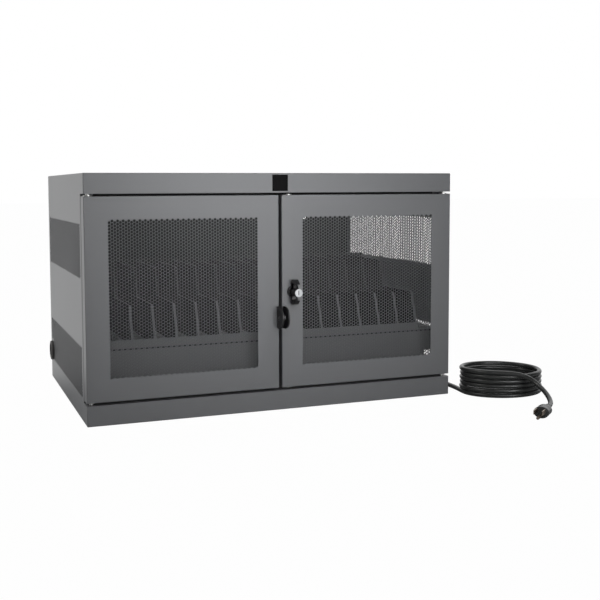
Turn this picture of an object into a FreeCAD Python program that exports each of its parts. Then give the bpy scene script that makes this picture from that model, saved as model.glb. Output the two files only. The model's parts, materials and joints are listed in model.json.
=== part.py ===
"""Device charging cabinet: a desk-top steel cabinet with two perforated pivoting doors.

Frame: millimetres, +Z up, the doors face -Y, the origin is the middle of the underside.
"""

import FreeCAD, Part
import math
import operator
import os

import Sketcher

Vector = FreeCAD.Vector
Rotation = FreeCAD.Rotation

SIZES = (
    # Carcass
    ("width", 600.0, "overall width"),
    ("depth", 400.0, "overall depth of the carcass, doors shut"),
    ("height", 368.0, "overall height"),
    ("sheet", 1.2, "steel sheet thickness"),
    ("bend_radius", 1.5, "outside radius of the bends"),
    ("lid_height", 30.0, "height of the top cover"),
    ("base_height", 30.5, "height of the base pan"),
    ("front_flange", 50.0, "inward flange at the front of cover and base"),
    ("edge_flange", 18.0, "inward flange at the sides and rear"),
    ("rebate", 26.0, "front face to the front edge of the side panels"),
    ("rail_height", 22.0, "height of the rails behind the doors"),
    ("rail_leg", 14.0, "depth of the rails"),
    # Doors
    ("top_gap", 3.5, "gap above the doors"),
    ("bottom_gap", 4.0, "gap below the doors"),
    ("centre_gap", 4.8, "gap between the doors"),
    ("door_depth", 22.0, "thickness of the door pans"),
    ("door_lip", 10.0, "return lip at the back of the door pans"),
    ("window_margin", 32.0, "door edge to the perforated field"),
    ("hole_pitch", 14.1, "pitch of the staggered perforation"),
    ("hole_radius", 4.5, "radius of the perforation holes"),
    # Side vents
    ("vent_margin", 9.0, "side panel's front and rear edges to the vents"),
    ("upper_vent_drop", 43.0, "top cover to the upper vent"),
    ("upper_vent_height", 85.0, "height of the upper vent"),
    ("lower_vent_rise", 4.0, "base pan to the lower vent"),
    ("lower_vent_height", 78.0, "height of the lower vent"),
    # Pivots
    ("pivot_inset", 8.0, "side face to the pivot axis"),
    ("pivot_setback", 11.0, "front face to the pivot axis"),
    ("pin_radius", 3.0, "pivot pin radius"),
    ("pin_reach", 8.0, "pin length inside the door"),
    ("pin_head_radius", 5.0, "pin head radius"),
    ("pin_head_height", 2.0, "pin head height"),
    ("bush_radius", 4.6, "pivot bush radius"),
    ("bush_flange_radius", 6.5, "pivot bush flange radius"),
    ("running_clearance", 0.06, "radial clearance of turning and sliding fits"),
    ("seat_clearance", 0.3, "clearance between pieces that only lie close"),
    # Padlock lugs
    ("lug_sheet", 2.3, "lug thickness"),
    ("lug_height", 34.5, "lug height"),
    ("lug_reach", 25.5, "lug length in front of the door"),
    ("lug_tail", 15.0, "lug length inside the door"),
    ("lug_hole_radius", 4.5, "padlock hole radius"),
    ("lug_drop", 38.8, "lock axis to the lug's middle"),
    ("rivet_radius", 2.0, "lug rivet radius"),
    ("rivet_head_radius", 3.2, "lug rivet head radius"),
    ("rivet_head_height", 1.4, "lug rivet head height"),
    # Lock
    ("lock_inset", 18.6, "right door's free edge to the lock axis"),
    ("collar_radius", 10.0, "lock collar radius"),
    ("collar_height", 4.0, "lock collar height"),
    ("barrel_radius", 8.0, "lock barrel radius"),
    ("spindle_radius", 5.0, "knob spindle radius"),
    ("nut_radius", 11.0, "lock nut corner radius"),
    ("nut_height", 3.0, "lock nut height"),
    ("hub_radius", 6.2, "knob hub radius"),
    ("knob_reach", 22.3, "door face to the knob hub's front"),
    ("wing_height", 39.0, "knob height over both wings"),
    ("wing_width", 9.8, "knob wing width"),
    ("wing_end", 6.2, "depth of the wings at their ends"),
    ("web_depth", 2.2, "depth of the web between the wings"),
    ("lobe_reach", 20.0, "door face to the tips of the wings"),
    ("lobe_rise", 12.3, "lock axis to the inner faces of the wings' tips"),
    ("wing_round", 1.1, "radius of the wings' corners"),
    ("cylinder_radius", 4.6, "key cylinder core radius"),
    ("cylinder_length", 14.0, "key cylinder core length"),
    ("face_radius", 6.1, "key cylinder face radius"),
    ("face_height", 1.7, "key cylinder face height"),
    ("keyway_height", 7.0, "keyway height"),
    ("keyway_width", 1.6, "keyway width"),
    ("keyway_depth", 3.0, "keyway depth"),
    ("crank_radius", 10.0, "lock axis to the crank pins"),
    ("crank_rim", 14.0, "crank disc radius"),
    ("crank_sheet", 3.0, "crank disc thickness"),
    ("crank_pin_radius", 2.0, "crank pin radius"),
    ("slot_clearance", 0.5, "crank pin to rod slot"),
    # Latch rods
    ("rod_inset", 14.1, "right door's free edge to the rods"),
    ("rod_radius", 3.0, "rod radius"),
    ("rod_foot", 3.0, "thickness of the rod feet"),
    ("foot_edge", 3.0, "metal beside the rod slots"),
    ("rod_proud", 2.6, "rod tip in front of the door edge, unlatched"),
    ("rod_tip", 1.5, "length of the rod's chamfered tip"),
    ("keeper_radius", 5.5, "rod holes in cover and base"),
    ("guide_width", 14.0, "rod guide width"),
    ("guide_height", 12.0, "rod guide height"),
    ("guide_span", 78.0, "lock axis to the rod guides"),
    # Inside
    ("shelf_height", 104.4, "floor to the underside of the device shelf"),
    ("shelf_sheet", 1.6, "device shelf thickness"),
    ("tray_setback", 33.0, "front face to the tray lips"),
    ("tray_depth", 297.0, "tray depth"),
    ("tray_lip", 11.5, "tray lip height above the tray floor"),
    ("tray_wall", 109.0, "tray rear wall height above the tray floor"),
    ("slot_pitch", 34.5, "pitch of the device slots"),
    ("divider_low", 61.0, "divider height at the front"),
    ("divider_high", 107.0, "divider height at the rear"),
    ("divider_step", 127.0, "tray lip to the step of the dividers"),
    ("divider_lean", 0.34, "backward lean of the divider front, per unit height"),
    ("divider_flange", 4.0, "width of the divider edge flanges"),
    ("panel_setback", 30.0, "front face to the lower front panel"),
    ("panel_notch_width", 29.0, "corner notch width of the lower front panel"),
    ("panel_notch_height", 41.0, "corner notch height of the lower front panel"),
    ("bracket_leg", 14.0, "leg of the shelf brackets"),
    # Outlets
    ("strip_depth", 44.0, "outlet strip depth"),
    ("strip_height", 38.0, "outlet strip height"),
    ("strip_length", 256.0, "outlet strip length"),
    ("strip_inset", 20.0, "cabinet middle to the strips"),
    ("strip_setback", 58.0, "rear face to the strips"),
    ("outlet_radius", 12.5, "outlet face radius"),
    ("outlet_height", 5.0, "outlet face height"),
    # Cord entry
    ("entry_setback", 22.0, "rear face to the cord entry axis"),
    ("entry_height", 52.0, "floor to the cord entry axis"),
    ("entry_radius", 13.0, "radius of the cord entry holes"),
    ("entry_land", 21.0, "plain sheet round the cord entry axis"),
    ("plug_rim_radius", 17.2, "hole plug rim radius"),
    ("plug_rim_height", 4.5, "hole plug rim height"),
    ("dish_radius", 12.0, "hole plug dish radius"),
    ("dish_depth", 2.5, "hole plug dish depth"),
    ("barrel_length", 7.0, "hole plug and gland length inside the panel"),
    ("gland_radius", 17.0, "gland nut corner radius"),
    ("gland_height", 7.0, "gland nut height"),
    ("relief_length", 31.0, "strain relief length"),
    ("relief_radius", 8.0, "strain relief radius at its root"),
    ("relief_wall", 1.4, "strain relief wall at its tip"),
    # Badge, screws, fixing holes, catch
    ("badge_side", 25.0, "badge plate side"),
    ("badge_sheet", 1.2, "badge plate thickness"),
    ("screw_radius", 4.0, "rear screw head radius"),
    ("screw_height", 2.2, "rear screw head height"),
    ("screw_inset", 9.0, "rear panel edge to the screws"),
    ("fixing_width", 406.4, "wall fixing holes, across"),
    ("fixing_rise", 203.2, "wall fixing holes, up"),
    ("fixing_radius", 4.0, "wall fixing hole radius"),
    ("catch_width", 40.0, "magnetic catch width"),
    ("catch_height", 12.0, "magnetic catch height"),
    # Mains lead
    ("cord_diameter", 7.6, "mains lead diameter"),
    ("coil_long", 65.0, "coil half length, on the cord's centre line"),
    ("coil_short", 52.0, "coil half width, on the cord's centre line"),
    ("coil_climb", 8.1, "coil climb per turn"),
    ("blade_length", 17.0, "plug blade length"),
    ("blade_width", 6.3, "plug blade width"),
    ("blade_sheet", 1.5, "plug blade thickness"),
    ("blade_spacing", 12.7, "plug blade spacing"),
    ("grip_length", 28.0, "plug body length"),
    ("grip_width", 23.0, "plug body width"),
    ("grip_height", 18.0, "plug body height"),
    ("tail_relief", 12.0, "plug strain relief length"),
)

SLOTS_PER_SIDE = 8
OUTLETS_PER_STRIP = 8
SIDES = (("left", -1), ("right", 1))

# The coil lies on the floor beside the right front corner and winds upwards in these turns.
COIL_OFFSET = (93.0, -18.5)
COIL_TURN_DEG = -20.6
COIL_WHOLE_TURNS = 5
COIL_LAST_DEG = 50.0

# Routes of the mains lead's free stretches, points chosen one by one. Each is an offset in X and Y
# from an end of the stretch, with its height above the floor.
LEAD_FROM_GLAND = (
    (43.5, -9.5, 46.5),
    (56.5, -31.0, 35.5),
    (59.5, -59.0, 23.0),
    (53.5, -88.0, 12.6),
    (40.5, -118.0, 6.2),
    (23.5, -151.0, 4.0),
)
LEAD_TO_COIL = (
    (18.0, 196.6, 3.8),
    (8.5, 152.6, 3.8),
    (3.0, 107.6, 3.8),
    (0.5, 68.6, 3.8),
)
TAIL_FROM_COIL = (
    (36.3, -27.3, 44.0),
    (48.4, -40.4, 36.6),
    (52.6, -56.0, 27.2),
    (51.9, -74.6, 18.0),
    (44.6, -91.9, 11.2),
)
LEAD_RUNS = (22.0, 34.0)
TAIL_RUNS = (23.0, 16.0)
PLUG_HEADING_DEG = -140.8
PLUG_FROM_COIL = (20.15, -115.7)

# The lead inside the cabinet, as offsets from the cord entry on the right side.
INNER_LEAD = (
    (-6.0, 0.1, 0.2),
    (-22.5, -0.7, -1.2),
    (-40.0, -5.1, -6.0),
    (-54.5, -14.1, -13.0),
    (-63.0, -26.5, -20.5),
    (-67.4, -38.4, -27.2),
)

SIGNS = {"+": operator.add, "-": operator.sub, "*": operator.mul, "/": operator.truediv}


class Size:
    """A length with its value and its expression on the sheet of sizes."""

    def __init__(self, text, value):
        self.text = text
        self.value = value

    def __float__(self):
        return float(self.value)

    def __neg__(self):
        return combine(0, "-", self)

    def __add__(self, other):
        return combine(self, "+", other)

    def __radd__(self, other):
        return combine(other, "+", self)

    def __sub__(self, other):
        return combine(self, "-", other)

    def __rsub__(self, other):
        return combine(other, "-", self)

    def __mul__(self, other):
        return combine(self, "*", other)

    def __rmul__(self, other):
        return combine(other, "*", self)

    def __truediv__(self, other):
        return combine(self, "/", other)


def as_size(item):
    """Give a plain number the form of a Size."""
    return item if isinstance(item, Size) else Size(repr(float(item)), float(item))


def combine(left, sign, right):
    """Join two sizes by an arithmetic sign, in value and in expression."""
    left, right = as_size(left), as_size(right)
    return Size(f"({left.text} {sign} {right.text})", SIGNS[sign](left.value, right.value))


class Sheet:
    """The driving dimensions, one aliased cell each."""

    def __init__(self, document):
        cells = document.addObject("Spreadsheet::Sheet", "sizes")
        for row, (alias, value, meaning) in enumerate(SIZES, 1):
            cells.set(f"A{row}", meaning)
            cells.set(f"B{row}", str(value))
            cells.setAlias(f"B{row}", alias)
        document.recompute()
        for alias, _, _ in SIZES:
            setattr(self, alias, Size(f"sizes.{alias}", float(cells.get(alias))))


doc = FreeCAD.newDocument("charging_cabinet")
s = Sheet(doc)
nodes = {}

# Places that several pieces share
half = s.width / 2
front = -s.depth / 2
rear = s.depth / 2
cover_bottom = s.height - s.lid_height
door_bottom = s.base_height + s.bottom_gap
door_top = cover_bottom - s.top_gap
door_height = door_top - door_bottom
door_edge = s.centre_gap / 2
door_width = half - door_edge
door_back = front + s.door_depth
door_skin = front + s.sheet
side_front = front + s.rebate
pivot_x = half - s.pivot_inset
pivot_y = front + s.pivot_setback
lock_x = door_edge + s.lock_inset
lock_z = door_bottom + door_height / 2
lug_z = lock_z - s.lug_drop
rod_x = door_edge + s.rod_inset
tray_front = front + s.tray_setback
tray_rear = tray_front + s.tray_depth
tray_floor = s.shelf_height + s.shelf_sheet
slot_floor = tray_floor + s.sheet
first_divider = s.slot_pitch / 2
entry_y = rear - s.entry_setback
latch_throw = s.crank_radius * math.sqrt(2)
crank_drop = s.crank_radius * math.sqrt(0.5)


def bind(item, name, size):
    """Bind a property to the sheet, or set it where the size is a plain number."""
    if isinstance(size, Size):
        item.setExpression(name, size.text)
    else:
        item.setExpression(name, repr(float(size)))


def place(item, corner, rotation=None):
    """Bind an object's place and set its rotation."""
    if rotation is not None:
        item.Placement = FreeCAD.Placement(Vector(), rotation)
    for axis, size in zip("xyz", corner):
        bind(item, f"Placement.Base.{axis}", size)


def box(name, corner, extent):
    """A block from its lowest corner and its extents along X, Y and Z."""
    item = doc.addObject("Part::Box", name)
    for side, size in zip(("Length", "Width", "Height"), extent):
        bind(item, side, size)
    place(item, corner)
    return item


def side_box(name, side, inner, outer, y, dy, z, dz):
    """A block between two distances from the middle plane, on the left or the right side."""
    low = inner if side > 0 else -outer
    return box(name, (low, y, z), (outer - inner, dy, dz))


TURNS = {
    "+X": Rotation(Vector(0, 1, 0), 90),
    "-X": Rotation(Vector(0, 1, 0), -90),
    "+Y": Rotation(Vector(1, 0, 0), -90),
    "-Y": Rotation(Vector(1, 0, 0), 90),
    "+Z": Rotation(),
    "-Z": Rotation(Vector(1, 0, 0), 180),
}


def rod(name, start, towards, radius, length):
    """A cylinder from the middle of its first face, towards a signed axis."""
    item = doc.addObject("Part::Cylinder", name)
    bind(item, "Radius", radius)
    bind(item, "Height", length)
    place(item, start, TURNS[towards])
    return item


def taper(name, start, towards, first, last, length):
    """A cone from the middle of its first face, towards a signed axis."""
    item = doc.addObject("Part::Cone", name)
    bind(item, "Radius1", first)
    bind(item, "Radius2", last)
    bind(item, "Height", length)
    place(item, start, TURNS[towards])
    return item


def hexagon(name, start, towards, radius, length):
    """A six-sided prism from the middle of its first face, towards a signed axis."""
    item = doc.addObject("Part::Prism", name)
    item.Polygon = 6
    bind(item, "Circumradius", radius)
    bind(item, "Height", length)
    place(item, start, TURNS[towards])
    return item


def fuse(name, items):
    """One solid from several that touch or overlap."""
    item = doc.addObject("Part::MultiFuse", name)
    item.Shapes = items
    item.Refine = True
    return item


def group(name, items):
    """Several separate solids in one object."""
    item = doc.addObject("Part::Compound", name)
    item.Links = items
    return item


def cut(name, base, tools):
    """A solid less its tools, which may overlap each other."""
    item = doc.addObject("Part::Cut", name)
    item.Base = base
    item.Tool = tools[0] if len(tools) == 1 else fuse(f"{name}_tools", tools)
    return item


def round_edges(name, base, radius, chosen):
    """Round the edges that a test chooses."""
    doc.recompute()
    picked = [index for index, edge in enumerate(base.Shape.Edges, 1) if chosen(edge)]
    item = doc.addObject("Part::Fillet", name)
    item.Base = base
    item.Edges = [(index, float(radius), float(radius)) for index in picked]
    return item


def shaped(name, shape):
    """A shape made here from the sheet's sizes."""
    item = doc.addObject("Part::Feature", name)
    item.Shape = shape
    return item


def node(label, item):
    """Name a finished sub-part."""
    item.Label = label
    nodes[label] = item
    return item


def plane_of(body, role):
    """One of a body's own origin planes."""
    return next(plane for plane in body.Origin.OriginFeatures if plane.Role == role)


def outline(body, name, role, points):
    """A closed sketch of straight lines, each corner bound to the sheet."""
    sketch = body.newObject("Sketcher::SketchObject", name)
    sketch.AttachmentSupport = [(plane_of(body, role), "")]
    sketch.MapMode = "FlatFace"
    flat = [Vector(float(x), float(y), 0) for x, y in points]
    count = len(flat)
    for index in range(count):
        sketch.addGeometry(Part.LineSegment(flat[index], flat[(index + 1) % count]), False)
    for index in range(count):
        sketch.addConstraint(Sketcher.Constraint("Coincident", index, 2, (index + 1) % count, 1))
    for index, (x, y) in enumerate(points):
        for kind, size in (("DistanceX", x), ("DistanceY", y)):
            number = sketch.addConstraint(Sketcher.Constraint(kind, -1, 1, index, 1, float(size)))
            sketch.setExpression(f"Constraints[{number}]", as_size(size).text)
    return sketch


def padded(name, role, profiles):
    """A body of pads, each an outline with its length, both ways about the plane."""
    body = doc.addObject("PartDesign::Body", name)
    for index, (points, length) in enumerate(profiles):
        sketch = outline(body, f"{name}_outline_{index}", role, points)
        pad = body.newObject("PartDesign::Pad", f"{name}_pad_{index}")
        pad.Profile = sketch
        pad.Midplane = True
        bind(pad, "Length", length)
        body.Tip = pad
    return body


# Perforation


def staggered(width, height, pitch, radius):
    """Hole centres of a staggered field, from its middle.

    Neighbouring columns are offset by half a pitch, so the holes lie on equal triangles.
    """
    column_step = pitch * math.sqrt(3) / 2
    columns = int((width - 2 * radius) / column_step) + 1
    rows = int((height - 2 * radius) / pitch - 0.5) + 1
    for column in range(columns):
        across = (column - (columns - 1) / 2) * column_step
        for row in range(rows):
            yield across, (row - (rows - 0.5) / 2 + 0.5 * (column % 2)) * pitch + pitch / 4


def punches(middle, across, normal, width, height, keep_clear=None):
    """Punch cylinders for a perforated field in an upright sheet."""
    radius = float(s.hole_radius)
    reach = 4 * float(s.sheet)
    made = []
    for along, up in staggered(width, height, float(s.hole_pitch), radius):
        centre = middle + across * along + Vector(0, 0, up)
        if keep_clear and (centre - keep_clear[0]).Length < keep_clear[1] + radius:
            continue
        made.append(Part.makeCylinder(radius, reach, centre - normal * (reach / 2), normal))
    return made


# Carcass


def folded_pan(name, z, height, rounded_z):
    """A shallow pan with inward flanges, which the side panels and the rails stand on."""
    floor_up = rounded_z == "low"
    block = box(f"{name}_block", (-half, front, z), (s.width, s.depth, height))
    level = float(z) if floor_up else float(z + height)

    def bent(edge):
        upright = abs(edge.Vertexes[0].Z - edge.Vertexes[-1].Z) > float(height) / 2
        return upright or all(abs(point.Z - level) < 1e-6 for point in edge.Vertexes)

    soft = round_edges(f"{name}_bends", block, s.bend_radius, bent)
    inside = box(
        f"{name}_inside",
        (s.sheet - half, front + s.sheet, z + s.sheet),
        (s.width - 2 * s.sheet, s.depth - 2 * s.sheet, height - 2 * s.sheet),
    )
    mouth_z = z + s.sheet * 1.5 if floor_up else z - s.sheet / 2
    mouth = box(
        f"{name}_mouth",
        (s.edge_flange - half, front + s.front_flange, mouth_z),
        (s.width - 2 * s.edge_flange, s.depth - s.front_flange - s.edge_flange, height - s.sheet),
    )
    flange_z = z + height - s.sheet * 2 if floor_up else z - s.sheet
    holes = [
        rod(f"{name}_pin_hole_{side}", (sign * pivot_x, pivot_y, flange_z), "+Z",
            s.pin_radius + s.running_clearance, s.sheet * 3)
        for side, sign in SIDES
    ]
    holes.append(rod(f"{name}_keeper", (rod_x, pivot_y, flange_z), "+Z", s.keeper_radius, s.sheet * 3))
    return cut(name, soft, [inside, mouth] + holes)


node("base_pan", folded_pan("base_pan_solid", as_size(0), s.base_height, "low"))
node("top_cover", folded_pan("top_cover_solid", cover_bottom, s.lid_height, "high"))


def side_panel(side, sign):
    """A side panel with two vents and the cord entry hole."""
    name = f"{side}_side_panel"
    rise = cover_bottom - s.base_height
    deep = rear - side_front
    wall = side_box(f"{name}_wall", sign, half - s.sheet, half, side_front, deep, s.base_height, rise)

    def bend(edge):
        return (
            abs(edge.Length - float(rise)) < 1e-3
            and all(abs(abs(point.X) - float(half)) < 1e-6 for point in edge.Vertexes)
            and all(abs(point.Y - float(side_front)) < 1e-6 for point in edge.Vertexes)
        )

    soft = round_edges(f"{name}_bend", wall, s.sheet * 0.75, bend)
    field = float(deep - 2 * s.vent_margin)
    middle_y = float(side_front + deep / 2)
    wall_x = sign * float(half - s.sheet / 2)
    entry = Vector(wall_x, float(entry_y), float(s.entry_height))
    upper_z = float(cover_bottom - s.upper_vent_drop - s.upper_vent_height / 2)
    lower_z = float(s.base_height + s.lower_vent_rise + s.lower_vent_height / 2)
    normal = Vector(1, 0, 0)
    across = Vector(0, 1, 0)
    made = punches(Vector(wall_x, middle_y, upper_z), across, normal, field, float(s.upper_vent_height))
    made += punches(Vector(wall_x, middle_y, lower_z), across, normal, field,
                    float(s.lower_vent_height), (entry, float(s.entry_land)))
    reach = 4 * float(s.sheet)
    made.append(Part.makeCylinder(float(s.entry_radius), reach, entry - normal * (reach / 2), normal))
    holes = shaped(f"{name}_holes", Part.makeCompound(made))
    node(name, cut(f"{name}_solid", soft, [holes]))


def jambs(name, y):
    """A pair of upright strips that stiffen the side panels' edges."""
    rise = cover_bottom - s.base_height
    strips = [
        side_box(f"{side}_{name}", sign, half - s.edge_flange, half - s.sheet, y, s.sheet,
                 s.base_height, rise)
        for side, sign in SIDES
    ]
    node(name, group(f"{name}_group", strips))


for side, sign in SIDES:
    side_panel(side, sign)
jambs("front_jambs", side_front)
jambs("rear_jambs", rear - 2 * s.sheet)


def rear_panel():
    """The rear panel with its wall fixing holes, and the screws that hold it."""
    rise = cover_bottom - s.base_height
    plate = box("rear_plate", (s.sheet - half, rear - s.sheet, s.base_height),
                (s.width - 2 * s.sheet, s.sheet, rise))
    middle = s.base_height + rise / 2
    holes = []
    for side, sign in SIDES:
        for level, up in (("low", -1), ("high", 1)):
            start = (sign * s.fixing_width / 2, rear - 2 * s.sheet, middle + up * s.fixing_rise / 2)
            holes.append(rod(f"fixing_{side}_{level}", start, "+Y", s.fixing_radius, s.sheet * 3))
    node("rear_panel", cut("rear_panel_solid", plate, holes))
    heads = []
    for side, sign in SIDES:
        for level, up in (("low", -1), ("middle", 0), ("high", 1)):
            heads.append(taper(
                f"rear_screw_{side}_{level}",
                (sign * (half - s.screw_inset), rear, middle + up * (rise / 2 - s.screw_inset * 2)),
                "+Y", s.screw_radius, s.screw_radius / 2, s.screw_height,
            ))
    node("rear_screws", group("rear_screw_group", heads))


rear_panel()


def rails():
    """The rails behind the doors: an angle at the top, and an upright on a flat strip at the bottom."""
    span = s.width - 2 * s.sheet
    x = s.sheet - half
    y = side_front + s.sheet
    web = box("header_web", (x, y, cover_bottom - s.rail_height), (span, s.sheet, s.rail_height))
    leg = box("header_leg", (x, y, cover_bottom - s.sheet), (span, s.rail_leg, s.sheet))
    node("header_rail", fuse("header_solid", [web, leg]))
    node("sill_rail", box("sill_web", (x, y, s.base_height), (span, s.sheet, s.rail_height)))
    node("sill_strip", box("sill_leg", (x, y + s.sheet, s.base_height),
                           (span, s.rail_leg - s.sheet, s.sheet)))


rails()


def pivot_pins():
    """Four headed pins, two in the cover's flange and two in the base's."""
    pins = []
    for side, sign in SIDES:
        x = sign * pivot_x
        low_head = s.base_height - s.sheet - s.pin_head_height
        low = rod(f"low_pin_{side}", (x, pivot_y, low_head), "+Z", s.pin_radius,
                  door_bottom + s.pin_reach - low_head)
        low_disc = rod(f"low_head_{side}", (x, pivot_y, low_head), "+Z", s.pin_head_radius, s.pin_head_height)
        high_head = cover_bottom + s.sheet + s.pin_head_height
        high = rod(f"high_pin_{side}", (x, pivot_y, high_head), "-Z", s.pin_radius,
                   high_head - door_top + s.pin_reach)
        high_disc = rod(f"high_head_{side}", (x, pivot_y, high_head), "-Z", s.pin_head_radius,
                        s.pin_head_height)
        pins.append(fuse(f"low_pivot_{side}", [low, low_disc]))
        pins.append(fuse(f"high_pivot_{side}", [high, high_disc]))
    node("pivot_pins", group("pivot_pin_group", pins))


pivot_pins()

badge_corner = (-s.badge_side / 2, front - s.badge_sheet, cover_bottom + s.lid_height / 2 - s.badge_side / 2)
badge_block = box("badge_block", badge_corner, (s.badge_side, s.badge_sheet, s.badge_side))
node("badge_plate", round_edges(
    "badge_solid", badge_block, s.badge_sheet / 2,
    lambda edge: all(abs(point.Y - float(front - s.badge_sheet)) < 1e-6 for point in edge.Vertexes),
))


# Doors


def door_pan(side, sign):
    """The perforated door pan: a skin with folded edges and return lips."""
    name = f"{side}_door_panel"
    block = side_box(f"{name}_block", sign, door_edge, half, front, s.door_depth, door_bottom, door_height)
    soft = round_edges(
        f"{name}_bends", block, s.bend_radius,
        lambda edge: all(abs(point.Y - float(front)) < 1e-6 for point in edge.Vertexes),
    )
    inside = side_box(f"{name}_inside", sign, door_edge + s.sheet, half - s.sheet, door_skin,
                      s.door_depth - 2 * s.sheet, door_bottom + s.sheet, door_height - 2 * s.sheet)
    mouth = side_box(f"{name}_mouth", sign, door_edge + s.door_lip, half - s.door_lip, door_skin + s.sheet,
                     s.door_depth, door_bottom + s.door_lip, door_height - 2 * s.door_lip)
    tools = [inside, mouth]
    bush_hole = s.bush_radius
    for level, z in (("low", door_bottom), ("high", door_top)):
        tools.append(rod(f"{name}_bush_hole_{level}", (sign * pivot_x, pivot_y, z - s.sheet * 1.5), "+Z",
                         bush_hole, s.sheet * 3))
    slot_wide = s.lug_sheet + 2 * s.seat_clearance
    tools.append(side_box(f"{name}_lug_slot", sign, door_edge + s.sheet, door_edge + s.sheet + slot_wide,
                          front - s.sheet, s.sheet * 3, lug_z - s.lug_height / 2 - s.seat_clearance,
                          s.lug_height + 2 * s.seat_clearance))
    if sign > 0:
        tools.append(rod(f"{name}_lock_hole", (lock_x, front - s.sheet, lock_z), "+Y",
                         s.barrel_radius, s.sheet * 3))
        for level, z in (("low", door_bottom), ("high", door_top)):
            tools.append(rod(f"{name}_rod_hole_{level}", (rod_x, pivot_y, z - s.sheet * 1.5), "+Z",
                             s.bush_radius, s.sheet * 3))
    pan = cut(f"{name}_pan", soft, tools)
    field_x = sign * float(door_edge + door_width / 2)
    field = punches(
        Vector(field_x, float(front + s.sheet / 2), float(lock_z)), Vector(1, 0, 0), Vector(0, 1, 0),
        float(door_width - 2 * s.window_margin), float(door_height - 2 * s.window_margin),
    )
    holes = shaped(f"{name}_holes", Part.makeCompound(field))
    node(name, cut(f"{name}_solid", pan, [holes]))


def flanged_bush(name, x, z, towards, flange, bore, length):
    """A plain bush through a door's folded edge, its flange in the gap outside."""
    back = {"+Z": -1, "-Z": 1}[towards]
    start = z + back * flange
    barrel = rod(f"{name}_barrel", (x, pivot_y, start), towards, s.bush_radius, length + flange)
    disc = rod(f"{name}_disc", (x, pivot_y, start), towards, s.bush_flange_radius, flange)
    hole = rod(f"{name}_bore", (x, pivot_y, start + back), towards, bore, length + flange + 2)
    return cut(f"{name}_bush", fuse(f"{name}_body", [barrel, disc]), [hole])


def door_bushes(side, sign):
    """The two pivot bushes of a door."""
    bore = s.pin_radius + s.running_clearance
    low = flanged_bush(f"{side}_low", sign * pivot_x, door_bottom, "+Z", s.sheet, bore, s.pin_reach)
    high = flanged_bush(f"{side}_high", sign * pivot_x, door_top, "-Z", s.sheet, bore, s.pin_reach)
    node(f"{side}_door_bushes", group(f"{side}_bush_group", [low, high]))


def lug(side, sign):
    """A padlock lug: a plate through the door's skin with a round end, riveted to the folded edge."""
    name = f"{side}_lug"
    inner = door_edge + s.sheet
    outer = inner + s.lug_sheet
    end_radius = s.lug_height / 2
    straight = s.lug_reach - end_radius
    low = lug_z - end_radius
    plate = side_box(f"{name}_plate", sign, inner, outer, front - straight, straight + s.sheet + s.lug_tail,
                     low, s.lug_height)
    start_x = inner if sign > 0 else -inner
    towards = "+X" if sign > 0 else "-X"
    cap = rod(f"{name}_cap", (start_x, front - straight, lug_z), towards, end_radius, s.lug_sheet)
    hole_start = start_x - sign
    hole = rod(f"{name}_hole", (hole_start, front - straight, lug_z), towards, s.lug_hole_radius,
               s.lug_sheet + 2)
    rivet_y = door_skin + s.lug_tail / 2
    rivet_holes = []
    rivets = []
    for level, up in (("low", -1), ("high", 1)):
        z = lug_z + up * s.lug_height / 4
        rivet_holes.append(rod(f"{name}_rivet_hole_{level}", (hole_start, rivet_y, z), towards,
                               s.rivet_radius, s.lug_sheet + 2))
        shank = rod(f"{name}_shank_{level}", (start_x, rivet_y, z), towards, s.rivet_radius,
                    s.lug_sheet + s.rivet_head_height)
        head_x = sign * outer
        head = rod(f"{name}_rivet_head_{level}", (head_x, rivet_y, z), towards, s.rivet_head_radius,
                   s.rivet_head_height)
        rivets.append(fuse(f"{name}_rivet_{level}", [shank, head]))
    node(name, cut(f"{name}_solid", fuse(f"{name}_blank", [plate, cap]), [hole] + rivet_holes))
    node(f"{name}_rivets", group(f"{name}_rivet_group", rivets))


for side, sign in SIDES:
    door_pan(side, sign)
    door_bushes(side, sign)
    lug(side, sign)


def left_catch():
    """The magnetic catch that holds the left door shut, and the plate that it holds."""
    z = cover_bottom - s.rail_height - s.catch_height
    x = -(door_edge + s.door_lip * 2 + s.catch_width)
    top = cover_bottom - s.rail_height + s.catch_height / 3
    magnet = box("catch_block", (x, side_front + 2 * s.sheet, z), (s.catch_width, s.rail_leg, top - z))
    pole_front = door_back + s.sheet + s.seat_clearance
    pole = box("catch_pole", (x + s.catch_width / 8, pole_front, z),
               (s.catch_width * 0.75, side_front + 3 * s.sheet - pole_front, s.catch_height / 2))
    node("left_door_catch", fuse("catch_solid", [magnet, pole]))
    plate_top = door_top - s.sheet
    node("left_catch_plate", box("catch_plate", (x, door_back, z - s.catch_height / 4),
                                 (s.catch_width, s.sheet, plate_top - z + s.catch_height / 4)))


left_catch()


# Lock


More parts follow.
